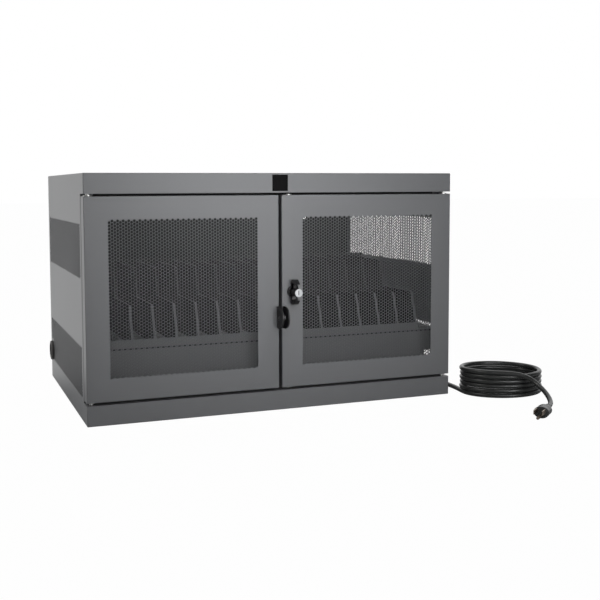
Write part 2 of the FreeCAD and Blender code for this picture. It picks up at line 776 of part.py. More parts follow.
def lock_body():
    """The collar in front of the door, the barrel through it and the nut behind."""
    bore = s.spindle_radius + s.running_clearance
    deep = s.sheet + s.nut_height + s.seat_clearance
    collar = taper("collar_cone", (lock_x, front, lock_z), "-Y", s.collar_radius, s.collar_radius * 0.94,
                   s.collar_height)
    collar_bore = rod("collar_bore", (lock_x, front + 1, lock_z), "-Y", s.barrel_radius, s.collar_height + 2)
    node("lock_collar", cut("collar_solid", collar, [collar_bore]))
    barrel_front = front - s.collar_height
    barrel_long = s.collar_height + deep
    barrel = rod("barrel_rod", (lock_x, barrel_front, lock_z), "+Y", s.barrel_radius, barrel_long)
    barrel_bore = rod("barrel_bore", (lock_x, barrel_front - 1, lock_z), "+Y", bore, barrel_long + 2)
    node("lock_barrel", cut("barrel_solid", barrel, [barrel_bore]))
    nut = hexagon("nut_prism", (lock_x, door_skin, lock_z), "+Y", s.nut_radius, s.nut_height)
    nut_bore = rod("nut_bore", (lock_x, door_skin - 1, lock_z), "+Y", s.barrel_radius, s.nut_height + 2)
    node("lock_nut", cut("nut_solid", nut, [nut_bore]))
    return deep


lock_deep = lock_body()
crank_front = front + lock_deep + s.seat_clearance
crank_back = crank_front + s.crank_sheet
foot_front = crank_back + s.seat_clearance
knob_back = front - s.collar_height - s.seat_clearance
knob_front = front - s.knob_reach


def knob():
    """The wing knob, its tips bent forward, bored for the key cylinder, and its spindle with the crank."""
    hub = rod("knob_hub", (lock_x, knob_back, lock_z), "-Y", s.hub_radius, knob_back - knob_front)
    end = s.wing_height / 2
    end_y = knob_back - s.wing_end
    tip_y = front - s.lobe_reach
    web_y = knob_back - s.web_depth
    wings = padded("knob_wings", "YZ_Plane", (((
        (knob_back, lock_z - end), (knob_back, lock_z + end), (end_y, lock_z + end),
        (tip_y, lock_z + s.lobe_rise), (web_y, lock_z + s.lobe_rise),
        (web_y, lock_z - s.lobe_rise), (tip_y, lock_z - s.lobe_rise), (end_y, lock_z - end),
    ), s.wing_width),))
    place(wings, (lock_x, 0, 0))
    outer = float(end) * 0.5
    soft_wings = round_edges(
        "knob_wing_ends", wings, s.wing_round,
        lambda edge: edge.BoundBox.XLength > 1e-6 and abs(edge.BoundBox.Center.z - float(lock_z)) > outer,
    )
    bore = rod("knob_bore", (lock_x, knob_front - 1, lock_z), "+Y", s.cylinder_radius + s.running_clearance,
               s.cylinder_length + 1)
    node("lock_knob", cut("knob_solid", fuse("knob_blank", [hub, soft_wings]), [bore]))
    shaft = rod("spindle_shaft", (lock_x, knob_back, lock_z), "+Y", s.spindle_radius, crank_back - knob_back)
    disc = rod("crank_disc", (lock_x, crank_front, lock_z), "+Y", s.crank_rim, s.crank_sheet)
    pins = [
        rod(f"crank_pin_{side}", (lock_x + sign * crank_drop, crank_front, lock_z - sign * crank_drop), "+Y",
            s.crank_pin_radius, s.crank_sheet + s.seat_clearance * 2 + s.rod_foot)
        for side, sign in SIDES
    ]
    node("lock_spindle", fuse("spindle_solid", [shaft, disc] + pins))


knob()


def key_cylinder():
    """The key cylinder: a face in front of the knob's hub, a core in its bore, and the keyway."""
    back = knob_front - s.seat_clearance
    start = back - s.face_height
    face = rod("cylinder_face", (lock_x, back, lock_z), "-Y", s.face_radius, s.face_height)
    core = rod("cylinder_core", (lock_x, back, lock_z), "+Y", s.cylinder_radius, s.cylinder_length)
    keyway = box("keyway", (lock_x - s.keyway_width / 2, start - 1, lock_z - s.keyway_height / 2),
                 (s.keyway_width, s.keyway_depth + 1, s.keyway_height))
    node("key_cylinder", cut("cylinder_solid", fuse("cylinder_blank", [face, core]), [keyway]))


key_cylinder()


def latch_rod(name, up):
    """A latch rod with a slotted foot round its crank pin.

    The upper rod takes the right-hand pin and the lower rod the left-hand one, so the
    feet pass each other on the two sides of the lock axis.
    """
    pin_z = lock_z - up * crank_drop
    slot_half = s.crank_pin_radius + s.slot_clearance
    slot_near = crank_drop - slot_half
    slot_far = s.crank_radius + slot_half
    foot_near = slot_near - s.foot_edge
    foot_far = slot_far + s.foot_edge
    foot_half = slot_half + s.foot_edge
    stem_far = foot_half + latch_throw * 2 + s.foot_edge * 2

    def foot_box(label, near, far, low, high, y, dy):
        left = lock_x + near if up > 0 else lock_x - far
        base = pin_z + low if up > 0 else pin_z - high
        return box(f"{name}_{label}", (left, y, base), (far - near, dy, high - low))

    plate = foot_box("plate", foot_near, foot_far, -foot_half, foot_half, foot_front, s.rod_foot)
    pieces = [plate]
    if up > 0:
        stem_edge = foot_far + s.foot_edge
        pieces.append(foot_box("stem", slot_far, stem_edge, -foot_half, stem_far, foot_front, s.rod_foot))
        arm_near = rod_x - lock_x - s.rod_radius
        arm_low = stem_far - 2 * s.foot_edge
        pieces.append(foot_box("arm", arm_near, stem_edge, arm_low, stem_far, foot_front, s.rod_foot))
        shaft_start = pin_z + arm_low
    else:
        shaft_start = pin_z
    tip = door_top + s.rod_proud if up > 0 else door_bottom - s.rod_proud
    towards = "+Z" if up > 0 else "-Z"
    reach = (tip - shaft_start) * up - s.rod_tip
    shaft = rod(f"{name}_shaft", (rod_x, pivot_y, shaft_start), towards, s.rod_radius, reach)
    point = taper(f"{name}_point", (rod_x, pivot_y, tip - up * s.rod_tip), towards, s.rod_radius,
                  s.rod_radius * 0.6, s.rod_tip)
    slot = foot_box("slot", slot_near, slot_far, -slot_half, slot_half, foot_front - s.rod_foot,
                    s.rod_foot * 3)
    node(name, cut(f"{name}_solid", fuse(f"{name}_blank", pieces + [shaft, point]), [slot]))


latch_rod("upper_rod", 1)
latch_rod("lower_rod", -1)


def rod_bearings():
    """The rod bushes in the right door's edges and the guides on its skin."""
    bore = s.rod_radius + s.running_clearance
    flange = s.sheet
    low = flanged_bush("rod_low", rod_x, door_bottom, "+Z", flange, bore, s.pin_reach)
    high = flanged_bush("rod_high", rod_x, door_top, "-Z", flange, bore, s.pin_reach)
    node("rod_bushes", group("rod_bush_group", [low, high]))
    guides = []
    for level, up in (("low", -1), ("high", 1)):
        z = lock_z + up * s.guide_span - s.guide_height / 2
        block = box(f"guide_block_{level}", (rod_x - s.guide_width / 2, door_skin, z),
                    (s.guide_width, pivot_y - door_skin + s.rod_radius * 2, s.guide_height))
        hole = rod(f"guide_bore_{level}", (rod_x, pivot_y, z - 1), "+Z", bore, s.guide_height + 2)
        guides.append(cut(f"guide_{level}", block, [hole]))
    node("rod_guides", group("rod_guide_group", guides))


rod_bearings()


# Inside


def shelf():
    """The shelf that carries the trays, its side brackets and the panel below its front edge."""
    inner = half - s.sheet
    shelf_front = front + s.panel_setback
    node("device_shelf", box("shelf_plate", (-inner, shelf_front, s.shelf_height),
                             (inner * 2, tray_rear - shelf_front, s.shelf_sheet)))
    brackets = []
    for side, sign in SIDES:
        y = shelf_front + s.panel_notch_width
        dy = tray_rear - y
        leg = side_box(f"{side}_bracket_leg", sign, inner - s.sheet, inner, y, dy,
                       s.shelf_height - s.bracket_leg, s.bracket_leg)
        shelf_leg = side_box(f"{side}_bracket_top", sign, inner - s.bracket_leg, inner, y, dy,
                             s.shelf_height - s.sheet, s.sheet)
        brackets.append(fuse(f"{side}_bracket", [leg, shelf_leg]))
    node("shelf_brackets", group("shelf_bracket_group", brackets))
    foot = s.base_height + s.sheet
    plate = box("front_plate", (-inner, shelf_front, foot), (inner * 2, s.sheet, s.shelf_height - foot))
    notches = [
        side_box(f"{side}_panel_notch", sign, inner - s.panel_notch_width, inner + s.sheet,
                 shelf_front - s.sheet, s.sheet * 3, s.base_height - s.sheet, s.panel_notch_height + s.sheet)
        for side, sign in SIDES
    ]
    node("lower_front_panel", cut("front_panel_solid", plate, notches))


shelf()


def tray(side, sign):
    """A slot tray: floor, front lip and rear wall."""
    name = f"{side}_tray"
    inner = first_divider - s.sheet
    outer = half - s.sheet * 2
    lip_outer = first_divider + s.slot_pitch * (SLOTS_PER_SIDE - 1) + s.sheet
    floor = side_box(f"{name}_floor", sign, inner, outer, tray_front, s.tray_depth, tray_floor, s.sheet)
    lip = side_box(f"{name}_lip", sign, inner, lip_outer, tray_front, s.sheet, tray_floor,
                   s.sheet + s.tray_lip)
    wall = side_box(f"{name}_wall", sign, inner, outer, tray_rear - s.sheet, s.sheet, tray_floor,
                    s.sheet + s.tray_wall)
    node(name, fuse(f"{name}_solid", [floor, lip, wall]))


def divider_pattern():
    """One divider: a stepped plate with a flange along each of its leaning front edges."""
    foot = tray_front + s.sheet + s.seat_clearance
    back = tray_rear - s.sheet
    step = tray_front + s.divider_step
    low = slot_floor + s.divider_low
    high = slot_floor + s.divider_high
    low_front = foot + s.divider_lean * s.divider_low
    high_front = step + s.divider_lean * (s.divider_high - s.divider_low)
    plate = (
        (foot, slot_floor), (low_front, low), (step, low),
        (high_front, high), (back, high), (back, slot_floor),
    )

    def flange(y, z, rise):
        lean = s.divider_lean * rise
        return ((y, z), (y + lean, z + rise), (y + lean + s.sheet, z + rise), (y + s.sheet, z))

    return padded("divider", "YZ_Plane", (
        (plate, s.sheet),
        (flange(foot, slot_floor, s.divider_low), s.divider_flange),
        (flange(step, low - s.sheet, s.divider_high - s.divider_low + s.sheet), s.divider_flange),
    ))


divider = divider_pattern()
doc.recompute()


def dividers(side, sign):
    """A row of dividers standing on a tray."""
    pitch = float(s.slot_pitch)
    copies = []
    for slot in range(SLOTS_PER_SIDE):
        copy = divider.Shape.copy()
        copy.translate(Vector(sign * (float(first_divider) + pitch * slot), 0, 0))
        copies.append(copy)
    node(f"{side}_dividers", shaped(f"{side}_divider_row", Part.makeCompound(copies)))


for side, sign in SIDES:
    tray(side, sign)
    dividers(side, sign)


def outlet_strip(side, sign):
    """An outlet strip on the base, with its outlets let into the top."""
    name = f"{side}_outlet_strip"
    y = rear - s.strip_setback - s.strip_depth
    outer = s.strip_inset + s.strip_length
    body = side_box(f"{name}_body", sign, s.strip_inset, outer, y, s.strip_depth, s.sheet, s.strip_height)
    soft = round_edges(f"{name}_soft", body, s.sheet * 2,
                       lambda edge: abs(edge.Length - float(s.strip_length)) < 1e-6)
    top = s.sheet + s.strip_height
    pitch = s.strip_length / OUTLETS_PER_STRIP
    pockets = []
    faces = []
    for index in range(OUTLETS_PER_STRIP):
        x = sign * (s.strip_inset + pitch * (index + 0.5))
        middle_y = y + s.strip_depth / 2
        seat = (x, middle_y, top - s.outlet_height)
        pockets.append(rod(f"{name}_pocket_{index}", seat, "+Z", s.outlet_radius, s.outlet_height + 1))
        disc = rod(f"{name}_face_{index}", seat, "+Z", s.outlet_radius, s.outlet_height)
        openings = [
            box(f"{name}_blade_{index}_{way}", (x + turn * s.blade_spacing / 2 - s.blade_sheet / 2,
                                                middle_y - s.blade_width / 2, top - s.outlet_height / 2),
                (s.blade_sheet, s.blade_width, s.outlet_height))
            for way, turn in SIDES
        ]
        earth = (x, middle_y - s.outlet_radius * 0.66, top - s.outlet_height / 2)
        openings.append(rod(f"{name}_earth_{index}", earth, "+Z", s.blade_sheet * 1.5, s.outlet_height))
        faces.append(cut(f"{name}_outlet_{index}", disc, [group(f"{name}_openings_{index}", openings)]))
    node(name, cut(f"{name}_solid", soft, [group(f"{name}_pockets", pockets)]))
    node(f"{side}_outlets", group(f"{name}_outlet_group", faces))


for side, sign in SIDES:
    outlet_strip(side, sign)

strip_middle_y = rear - s.strip_setback - s.strip_depth / 2
node("strip_link", rod("strip_link_rod", (-s.strip_inset, strip_middle_y, s.sheet + s.strip_height / 2), "+X",
                       s.cord_diameter / 2, s.strip_inset * 2))


# Cord entry


def hole_plug():
    """The plug in the unused cord entry on the left: a dished rim, a barrel and a snap ring."""
    x = -half
    inner = s.sheet + s.barrel_length
    rim = rod("plug_rim", (x, entry_y, s.entry_height), "-X", s.plug_rim_radius, s.plug_rim_height)
    soft = round_edges("plug_rim_soft", rim, s.plug_rim_height * 0.45,
                       lambda edge: abs(edge.BoundBox.Center.x - float(x - s.plug_rim_height)) < 1e-6
                       and edge.BoundBox.XLength < 1e-6)
    barrel = rod("plug_barrel", (x, entry_y, s.entry_height), "+X", s.entry_radius - s.seat_clearance, inner)
    dish_x = x - s.plug_rim_height + s.dish_depth
    dish = rod("plug_dish", (dish_x, entry_y, s.entry_height), "-X", s.dish_radius, s.dish_depth + 1)
    hollow = rod("plug_hollow", (x, entry_y, s.entry_height), "+X", s.entry_radius - s.sheet * 3, inner + 1)
    node("hole_plug", cut("hole_plug_solid", fuse("plug_blank", [soft, barrel]), [dish, hollow]))


def cord_gland():
    """The gland of the mains lead: a hexagon, a tapered strain relief and an inside nut."""
    x = half
    inner = s.sheet + s.barrel_length
    nut = hexagon("gland_hexagon", (x, entry_y, s.entry_height), "+X", s.gland_radius, s.gland_height)
    relief = taper("gland_relief", (x + s.gland_height, entry_y, s.entry_height), "+X", s.relief_radius,
                   s.cord_diameter / 2 + s.relief_wall, s.relief_length)
    barrel = rod("gland_barrel", (x, entry_y, s.entry_height), "-X", s.entry_radius - s.seat_clearance, inner)
    node("cord_gland", fuse("gland_solid", [nut, relief, barrel]))


hole_plug()
cord_gland()


# Mains lead


def turn_arc(start, corner, end, radius):
    """The arc of a given radius that is tangent to two runs, and its two ends."""
    into = (corner - start).normalize()
    away = (end - corner).normalize()
    half_turn = into.getAngle(away) / 2
    tangent = radius * math.tan(half_turn)
    first = corner - into * tangent
    last = corner + away * tangent
    inward = (away - into).normalize()
    middle = corner + inward * (radius / math.cos(half_turn) - radius)
    return first, Part.Arc(first, middle, last).toShape(), last


def tube(name, points, radius):
    """A round tube along straight runs and tangent arcs, each arc as large as its runs allow."""
    edges = []
    radii = []
    here = points[0]
    for start, corner, end in zip(points, points[1:], points[2:]):
        into = corner - start
        away = end - corner
        turn = into.getAngle(away)
        bend = 0.45 * min(into.Length, away.Length) / math.tan(turn / 2)
        first, arc, last = turn_arc(start, corner, end, bend)
        edges += [Part.LineSegment(here, first).toShape(), arc]
        radii.append(bend)
        here = last
    edges.append(Part.LineSegment(here, points[-1]).toShape())
    path = Part.Wire(edges)
    section = Part.Wire(Part.Circle(points[0], points[1] - points[0], radius).toShape())
    solid = path.makePipeShell([section], True, False)
    expected = math.pi * radius * radius * path.Length
    print(name, "length", round(path.Length, 1), "tightest bend", round(min(radii), 1),
          "volume share", round(solid.Volume / expected, 4))
    return solid


def coil_point(angle, start):
    """A point of the coil's centre line and its direction, at an angle in radians."""
    turn = math.radians(COIL_TURN_DEG)
    along = Vector(math.cos(turn), math.sin(turn), 0)
    across = Vector(-math.sin(turn), math.cos(turn), 0)
    long_half, short_half = float(s.coil_long), float(s.coil_short)
    climb = float(s.coil_climb) / (2 * math.pi)
    middle = Vector(float(half) + COIL_OFFSET[0], float(front) + COIL_OFFSET[1], float(s.cord_diameter) / 2)
    place_at = middle + along * (long_half * math.cos(angle)) + across * (short_half * math.sin(angle))
    place_at.z += climb * (angle - start)
    heading = across * (short_half * math.cos(angle)) - along * (long_half * math.sin(angle))
    heading.z = climb
    return place_at, heading.normalize()


def biarc(first, heading, last, last_heading):
    """Two tangent arcs from one point and direction to another."""
    gap = last - first
    total = heading + last_heading
    share = 2 * (1 - heading.dot(last_heading))
    reach = (math.sqrt(gap.dot(total) ** 2 + share * gap.dot(gap)) - gap.dot(total)) / share
    joint = (first + heading * reach + last - last_heading * reach) * 0.5
    return [arc_from(first, heading, joint), arc_from(last, last_heading * -1, joint)]


def arc_from(start, heading, end):
    """The arc that leaves a point in a direction and ends at another point."""
    chord = end - start
    across = (chord - heading * chord.dot(heading)).normalize()
    radius = chord.dot(chord) / (2 * chord.dot(across))
    half_turn = heading.getAngle(chord)
    middle = start + heading * (radius * math.sin(half_turn)) + across * (radius * (1 - math.cos(half_turn)))
    return Part.Arc(start, middle, end).toShape()


def coil(radius):
    """The coil as one unbroken tube, wound on biarcs of a quarter turn.

    Both ends lie level. Gives the solid, and the place and direction of each end.
    """
    turn = math.radians(COIL_TURN_DEG)
    start = math.pi + math.atan2(-float(s.coil_short) * math.sin(turn), float(s.coil_long) * math.cos(turn))
    total = COIL_WHOLE_TURNS * 2 * math.pi + math.radians(COIL_LAST_DEG)
    steps = math.ceil(total / (math.pi / 2))
    stations = [coil_point(start + total * step / steps, start) for step in range(steps + 1)]
    for _, heading in (stations[0], stations[-1]):
        heading.z = 0
        heading.normalize()
    edges = []
    for (first, heading), (last, last_heading) in zip(stations, stations[1:]):
        pair = biarc(first, heading, last, last_heading)
        edges += pair
    path = Part.Wire(Part.__sortEdges__(edges))
    section = Part.Wire(Part.Circle(stations[0][0], stations[0][1], radius).toShape())
    solid = path.makePipeShell([section], True, False)
    samples = path.discretize(Number=1600)
    spacing = path.Length / (len(samples) - 1)
    apart = int(4 * float(s.coil_short) / spacing)
    least = min(
        (near - far).Length
        for index, near in enumerate(samples)
        for far in samples[index + apart:index + apart * 3]
    )
    expected = math.pi * radius * radius * path.Length
    print("cord_coil length", round(path.Length, 1), "least gap to itself", round(least - 2 * radius, 2),
          "volume share", round(solid.Volume / expected, 4))
    return solid, stations[0], stations[-1]


def from_end(end, offsets):
    """Points at offsets in X and Y from a place, each with its height above the floor."""
    return [Vector(end.x + x, end.y + y, z) for x, y, z in offsets]


cord_radius = float(s.cord_diameter) / 2
coil_solid, (coil_start, coil_inward), (coil_end, coil_outward) = coil(cord_radius)
gland_tip = Vector(float(half + s.gland_height + s.relief_length), float(entry_y), float(s.entry_height))
plug_place = from_end(coil_end, [(*PLUG_FROM_COIL, float(s.grip_height) / 2)])[0]
plug_heading = Rotation(Vector(0, 0, 1), PLUG_HEADING_DEG)
plug_inward = plug_heading.multVec(Vector(1, 0, 0))
lead_points = [gland_tip, gland_tip + Vector(LEAD_RUNS[0], 0, 0)]
lead_points += from_end(gland_tip, LEAD_FROM_GLAND) + from_end(coil_start, LEAD_TO_COIL)
lead_points += [coil_start - coil_inward * LEAD_RUNS[1], coil_start]
tail_points = [coil_end, coil_end + coil_outward * TAIL_RUNS[0]]
tail_points += from_end(coil_end, TAIL_FROM_COIL)
tail_points += [plug_place - plug_inward * TAIL_RUNS[1], plug_place]
node("cord_lead", shaped("cord_lead_tube", tube("cord_lead", lead_points, cord_radius)))
node("cord_coil", shaped("cord_coil_tube", coil_solid))
node("cord_tail", shaped("cord_tail_tube", tube("cord_tail", tail_points, cord_radius)))


def mains_plug():
    """The moulded plug with its strain relief, lying on the floor, and its three blades."""
    relief = taper("plug_relief", (0, 0, 0), "+X", s.cord_diameter / 2 + s.relief_wall, s.grip_height / 3,
                   s.tail_relief)
    grip = box("plug_grip", (s.tail_relief, -s.grip_width / 2, -s.grip_height / 2),
               (s.grip_length, s.grip_width, s.grip_height))
    soft = round_edges("plug_grip_soft", grip, s.grip_height * 0.32,
                       lambda edge: edge.BoundBox.Center.x < float(s.tail_relief + s.grip_length) - 1e-6)
    body = fuse("plug_solid", [relief, soft])
    face = s.tail_relief + s.grip_length
    blades = [
        box(f"plug_blade_{way}", (face, turn * s.blade_spacing / 2 - s.blade_sheet / 2, 0),
            (s.blade_length, s.blade_sheet, s.blade_width))
        for way, turn in SIDES
    ]
    blades.append(rod("plug_earth", (face, 0, -s.grip_height / 4), "+X", s.blade_sheet * 1.5,
                      s.blade_length + 2))
    pins = group("plug_blade_group", blades)
    for label, item in (("plug_body", body), ("plug_blades", pins)):
        item.Placement = FreeCAD.Placement(plug_place, plug_heading)
        node(label, item)


mains_plug()

entry = Vector(float(half), float(entry_y), float(s.entry_height))
inner_tube = tube("inner_lead", [entry + Vector(*offset) for offset in INNER_LEAD], cord_radius)
strip_back = float(rear - s.strip_setback)
between = Part.makeBox(
    float(half - s.sheet - s.barrel_length), float(s.entry_setback + s.strip_setback), float(s.shelf_height),
    Vector(0, strip_back, 0),
)
node("inner_lead", shaped("inner_lead_tube", inner_tube.common(between)))


def check_and_write():
    """Stop if any object failed or any sub-part is not sound, then write each sub-part."""
    doc.recompute()
    failed = [item.Name for item in doc.Objects if set(item.State) & {"Invalid", "Error"}]
    for label, item in nodes.items():
        shape = item.Shape
        if shape.isNull() or not shape.isValid() or not shape.Solids:
            failed.append(label)
    if failed:
        raise RuntimeError(f"not sound: {', '.join(failed)}")
    os.makedirs("parts", exist_ok=True)
    for label, item in nodes.items():
        item.Shape.exportStep(f"parts/{label}.step")
    print(len(nodes), "sub-parts written")


check_and_write()
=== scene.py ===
"""Studio scene of a device charging cabinet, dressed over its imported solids.

Frame: metres, +Z up, the doors face -Y, the origin is the middle of the underside.
"""

import json
import logging
import math
from dataclasses import dataclass
from enum import Enum
from typing import Iterable

import bmesh
import bpy
from mathutils import Matrix, Vector

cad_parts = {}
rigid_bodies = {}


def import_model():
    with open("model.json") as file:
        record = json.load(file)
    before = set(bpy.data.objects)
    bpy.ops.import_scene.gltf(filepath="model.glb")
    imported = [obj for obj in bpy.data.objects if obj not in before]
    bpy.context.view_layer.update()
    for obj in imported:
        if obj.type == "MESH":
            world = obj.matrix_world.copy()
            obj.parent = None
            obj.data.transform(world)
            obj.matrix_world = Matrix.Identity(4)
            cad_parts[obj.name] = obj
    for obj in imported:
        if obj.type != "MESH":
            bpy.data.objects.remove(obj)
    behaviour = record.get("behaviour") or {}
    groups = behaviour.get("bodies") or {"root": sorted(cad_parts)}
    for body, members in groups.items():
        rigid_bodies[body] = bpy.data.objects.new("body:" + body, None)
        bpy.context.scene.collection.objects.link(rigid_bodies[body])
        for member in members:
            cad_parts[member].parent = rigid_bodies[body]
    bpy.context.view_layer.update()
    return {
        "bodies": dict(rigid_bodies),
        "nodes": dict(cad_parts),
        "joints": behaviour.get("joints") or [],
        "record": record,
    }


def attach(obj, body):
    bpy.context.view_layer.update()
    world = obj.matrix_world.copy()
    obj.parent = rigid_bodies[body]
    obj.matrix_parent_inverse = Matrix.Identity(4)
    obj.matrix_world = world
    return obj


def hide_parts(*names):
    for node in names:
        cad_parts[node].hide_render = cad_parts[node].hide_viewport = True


Colour = tuple[float, float, float]
Point = tuple[float, float, float]
Land = tuple[float, float, float]
Socket = bpy.types.NodeSocket

MM = 0.001
FULL_TURN = 2 * math.pi
SHARP_ANGLE = math.radians(32)
CELL_SIDES = 6
HALF_CELL = math.radians(30)
BUMP_STRENGTH = 0.5

log = logging.getLogger("charging_cabinet")


class Side(Enum):
    """The two sides of the cabinet, with the sign of X on each."""

    LEFT = -1
    RIGHT = 1

    @property
    def word(self) -> str:
        """The side's name as the sub-parts spell it."""
        return self.name.lower()


class Facing(Enum):
    """The way a sheet faces: across, up and outwards."""

    FRONT = ((1, 0, 0), (0, 0, 1), (0, -1, 0))
    LEFT = ((0, -1, 0), (0, 0, 1), (-1, 0, 0))
    RIGHT = ((0, 1, 0), (0, 0, 1), (1, 0, 0))

    def at(self, place: Point) -> Matrix:
        """The matrix that stands a flat shape up at a place.

        Args:
            place: Where the shape's own origin goes.

        Returns:
            The matrix, its columns across, up and outwards.
        """
        across, up, out = (Vector(axis) for axis in self.value)
        turned = Matrix((across, up, out)).transposed().to_4x4()
        return Matrix.Translation(Vector(place)) @ turned


def combine(tree: bpy.types.NodeTree, operation: str, first: Socket, second: Socket | float) -> Socket:
    """Add a Math node.

    Args:
        tree: The nodes to add it to.
        operation: What it does with its two values.
        first: The socket of its first value.
        second: Its second value, or the socket of that.

    Returns:
        The socket of its result.
    """
    node = tree.nodes.new("ShaderNodeMath")
    node.operation = operation
    tree.links.new(first, node.inputs[0])
    if isinstance(second, Socket):
        tree.links.new(second, node.inputs[1])
    else:
        node.inputs[1].default_value = second
    return node.outputs["Value"]


def fade_along_y(
    tree: bpy.types.NodeTree, source: Socket, start: float, end: float, blend: str = "LINEAR"
) -> Socket:
    """Add a fade along the Y of a vector.

    Args:
        tree: The nodes to add it to.
        source: The socket of the vector.
        start: The Y at which the fade starts.
        end: The Y at which it ends.
        blend: How it runs between them.

    Returns:
        The socket that goes from 0 to 1.
    """
    parts = tree.nodes.new("ShaderNodeSeparateXYZ")
    tree.links.new(source, parts.inputs["Vector"])
    fade = tree.nodes.new("ShaderNodeMapRange")
    fade.interpolation_type = blend
    fade.inputs["From Min"].default_value = start
    fade.inputs["From Max"].default_value = end
    tree.links.new(parts.outputs["Y"], fade.inputs["Value"])
    return fade.outputs["Result"]


class Grain(Enum):
    """The surface grains that the finishes share: name, detail and stretch of the fine noise."""

    POWDER = ("powder grain", 2.0, (1.0, 1.0, 1.0))
    BRUSHED = ("brushed lines", 4.0, (1.0, 1.0, 0.06))
    MOULDED = ("moulded grain", 1.0, (1.0, 1.0, 1.0))


class GrainGroup:
    """Builds each surface grain once, as a shader node group."""

    BROAD_SCALE = 9.0
    BROAD_DETAIL = 3.0
    SOCKETS = (
        ("Colour", "INPUT", "NodeSocketColor"),
        ("Roughness", "INPUT", "NodeSocketFloat"),
        ("Scale", "INPUT", "NodeSocketFloat"),
        ("Spread", "INPUT", "NodeSocketFloat"),
        ("Colour", "OUTPUT", "NodeSocketColor"),
        ("Roughness", "OUTPUT", "NodeSocketFloat"),
        ("Height", "OUTPUT", "NodeSocketFloat"),
    )

    def __init__(self) -> None:
        """Start with no group built."""
        self.made: dict[Grain, bpy.types.NodeTree] = {}

    def get(self, grain: Grain) -> bpy.types.NodeTree:
        """The node group of a grain.

        Args:
            grain: The grain that is wanted.

        Returns:
            Its node group, built on the first call.
        """
        if grain not in self.made:
            self.made[grain] = self.build(grain)
        return self.made[grain]

    def build(self, grain: Grain) -> bpy.types.NodeTree:
        """Build a group: fine grain and broad tone from object coordinates.

        Args:
            grain: The grain to build.

        Returns:
            The group, which puts out a colour, a roughness and a height.
        """
        label, detail, stretch = grain.value
        tree = bpy.data.node_groups.new(label, "ShaderNodeTree")
        for name, way, kind in self.SOCKETS:
            tree.interface.new_socket(name=name, in_out=way, socket_type=kind)
        add = tree.nodes.new
        link = tree.links.new
        given = add("NodeGroupInput")
        out = add("NodeGroupOutput")
        coords = add("ShaderNodeTexCoord")
        mapping = add("ShaderNodeMapping")
        mapping.inputs["Scale"].default_value = stretch
        link(coords.outputs["Object"], mapping.inputs["Vector"])

        fine = add("ShaderNodeTexNoise")
        fine.inputs["Detail"].default_value = detail
        link(mapping.outputs["Vector"], fine.inputs["Vector"])
        link(given.outputs["Scale"], fine.inputs["Scale"])
        broad = add("ShaderNodeTexNoise")
        broad.inputs["Scale"].default_value = self.BROAD_SCALE
        broad.inputs["Detail"].default_value = self.BROAD_DETAIL
        link(coords.outputs["Object"], broad.inputs["Vector"])

        both = combine(tree, "ADD", fine.outputs["Fac"], broad.outputs["Fac"])
        centred = combine(tree, "SUBTRACT", both, 1.0)
        swing = combine(tree, "MULTIPLY", centred, given.outputs["Spread"])
        tone = combine(tree, "ADD", swing, 1.0)
        shade = add("ShaderNodeVectorMath")
        shade.operation = "SCALE"
        link(given.outputs["Colour"], shade.inputs[0])
        link(tone, shade.inputs["Scale"])
        rough = combine(tree, "MULTIPLY", given.outputs["Roughness"], tone)
        link(shade.outputs["Vector"], out.inputs["Colour"])
        link(rough, out.inputs["Roughness"])
        link(fine.outputs["Fac"], out.inputs["Height"])
        return tree


class Source(Enum):
    """What a patch of colour goes by: a node's kind and its output."""

    NORMAL = ("ShaderNodeNewGeometry", "True Normal")
    PLACE = ("ShaderNodeTexCoord", "Object")


@dataclass(frozen=True)
class Patch:
    """A second colour of a finish, fading in along Y by the way a face looks or by its place."""

    colour: Colour
    source: Source
    start: float
    end: float

    def added(self, tree: bpy.types.NodeTree, under: Socket | Colour) -> Socket:
        """Add the patch over a colour.

        Args:
            tree: The material's nodes.
            under: The colour below it, or the socket of that colour.

        Returns:
            The socket of the colour with the patch.
        """
        kind, output = self.source.value
        source = tree.nodes.new(kind)
        fade = fade_along_y(tree, source.outputs[output], self.start, self.end)
        choice = tree.nodes.new("ShaderNodeMix")
        choice.data_type = "RGBA"
        if isinstance(under, Socket):
            tree.links.new(under, choice.inputs["A"])
        else:
            choice.inputs["A"].default_value = (*under, 1.0)
        choice.inputs["B"].default_value = (*self.colour, 1.0)
        tree.links.new(fade, choice.inputs["Factor"])
        return choice.outputs["Result"]


@dataclass(frozen=True)
class Texture:
    """A grain at a given fineness, with the spread of its tone and its depth."""

    grain: Grain
    scale: float
    spread: float
    depth: float


